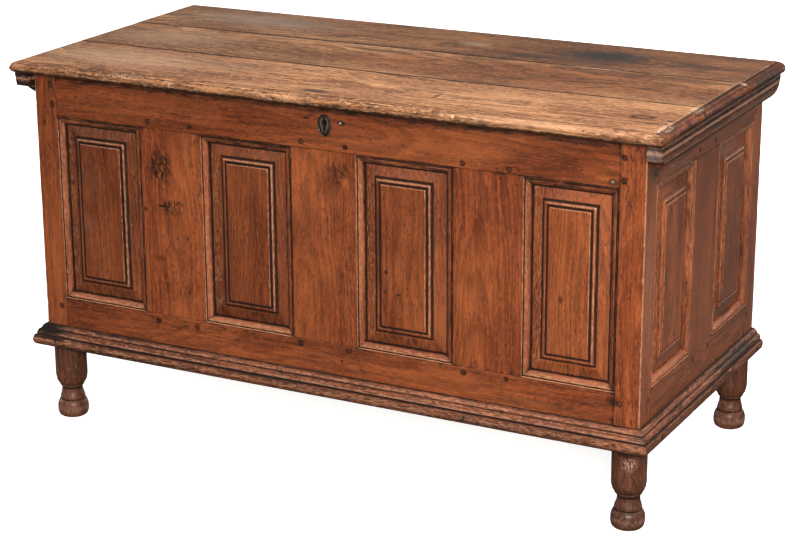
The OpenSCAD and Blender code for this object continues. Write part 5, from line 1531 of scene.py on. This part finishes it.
plateValues = {
    "centre": (0.011, 0.6435), "half": (0.01375, 0.020), "points": 72, "highlightTurn": 0.6,
    "hole": (0.011, 0.6489, 0.0035), "slot": (0.0017, 0.6348),   # centre and radius, then half width and foot
    "dents": (0.10, 0.006),      # depth in mm and size
    # where the rim and the dome get a painted highlight, and where the plate is darkened: in the quirk, at
    # its edge and in the keyhole, whose dark is painted shade, as shares like the section's
    "rim": (0.86, 0.97), "dome": (0.2, 0.45), "domeHighlight": 0.55, "quirk": (0.7, 0.85), "edges": (0.1, 0.98),
    # share of the way out from the keyhole to the edge, and mm proud of the wood
    "section": [(0.0, 0.55), (0.04, 0.75), (0.3, 0.95), (0.6, 0.85), (0.78, 0.6), (0.83, 0.65), (0.87, 1.1),
                (0.91, 1.38), (0.95, 1.38), (0.985, 1.0), (1.0, 0.4), (1.0, 0.0)],
}


def holeEdge(angle, v):
    # the keyhole's edge seen from its round's centre: a round with a slot below it
    cx, cz, r = v["hole"]
    half, foot = v["slot"]
    dx, dz = math.cos(angle), math.sin(angle)
    reach = r
    if dz < 0:
        toSide = half / abs(dx) if abs(dx) > 1e-6 else 9.0
        toFoot = (cz - foot) / -dz
        reach = max(reach, min(toSide, toFoot))
    return cx + reach * dx, cz + reach * dz


def escutcheonPlate(v=plateValues):
    n = v["points"]
    points, wearAndHighlight, grimeAndShade = [], [], []
    turns = [math.pi * 2 * i / n for i in range(n)]
    (cx, cz), (wide, high) = v["centre"], v["half"]
    outer = [(cx + wide * math.cos(t), cz + high * math.sin(t)) for t in turns]
    inner = [holeEdge(math.atan2(z - v["hole"][1], x - v["hole"][0]), v) for x, z in outer]

    def within(key, share):
        return v[key][0] < share < v[key][1]

    rings = [(0.0, 0.0)] + v["section"]
    for share, proud in rings:
        for (ox, oz), (ix, iz) in zip(outer, inner):
            x, z = ix + (ox - ix) * share, iz + (oz - iz) * share
            dent = v["dents"][0] * bumpy((x, z, 0), v["dents"][1], 3.0) * (1 if 0 < share < 0.9 else 0)
            points.append((x, sizes["frontY"] - max(0.0, proud + min(0, dent)) * 1e-3, z))
            # a painted highlight on the rim, strongest towards the upper right
            toRight = math.cos(math.atan2(z - cz, x - cx) - v["highlightTurn"])
            rimHighlight = max(0.0, toRight) ** 2 if within("rim", share) else 0.0
            wearAndHighlight.append(v["domeHighlight"] if within("dome", share) else rimHighlight)
            grimeAndShade.append(1.0 if within("quirk", share) or not within("edges", share) else 0.0)
    m = len(rings)
    faces = [(r * n + i, r * n + (i + 1) % n, ((r + 1) % m) * n + (i + 1) % n, ((r + 1) % m) * n + i)
             for r in range(m) for i in range(n)]
    mesh = joinParts("escutcheon", [(points, faces, points, wearAndHighlight, grimeAndShade)], 0.0)
    finishMesh(mesh, "escutcheon", "case", "iron", "plate", smooth=45)


escutcheonPlate()
print("iron dressed")

# Floor

floorValues = {"seen": "#ffffff", "front": "#4a4744", "behind": "#5b5956", "lit": (0.75, 1.0)}
floor = bpy.data.meshes.new("floor")
floor.from_pydata([(-14, -10, 0), (14, -10, 0), (14, 18, 0), (-14, 18, 0)], [], [(0, 1, 2, 3)])
floorMaterial, tree, shader, place = newMaterial("pale floor")
seen = addNode(tree, "ShaderNodeLightPath").outputs["Is Camera Ray"]
back = addNode(tree, "ShaderNodeSeparateXYZ", {0: place}).outputs[1]
around = mixed(tree, span(tree, back, -1.2, 1.5), paint(floorValues["front"]), paint(floorValues["behind"]))
# the camera sees the floor nearly white, more so away from the chest
far = vecCalc(tree, "LENGTH", place)["Value"]
glow = times(tree, seen, span(tree, far, 0.7, 1.9, *floorValues["lit"]))
white = paint(floorValues["seen"])
setInputs(tree, shader, {"Base Color": mixed(tree, seen, around, white), "Emission Strength": glow,
                         "Emission Color": white, "Roughness": 1.0, "Specular IOR Level": 0.0})
floor.materials.append(floorMaterial)
ground = addObject("floor", floor)
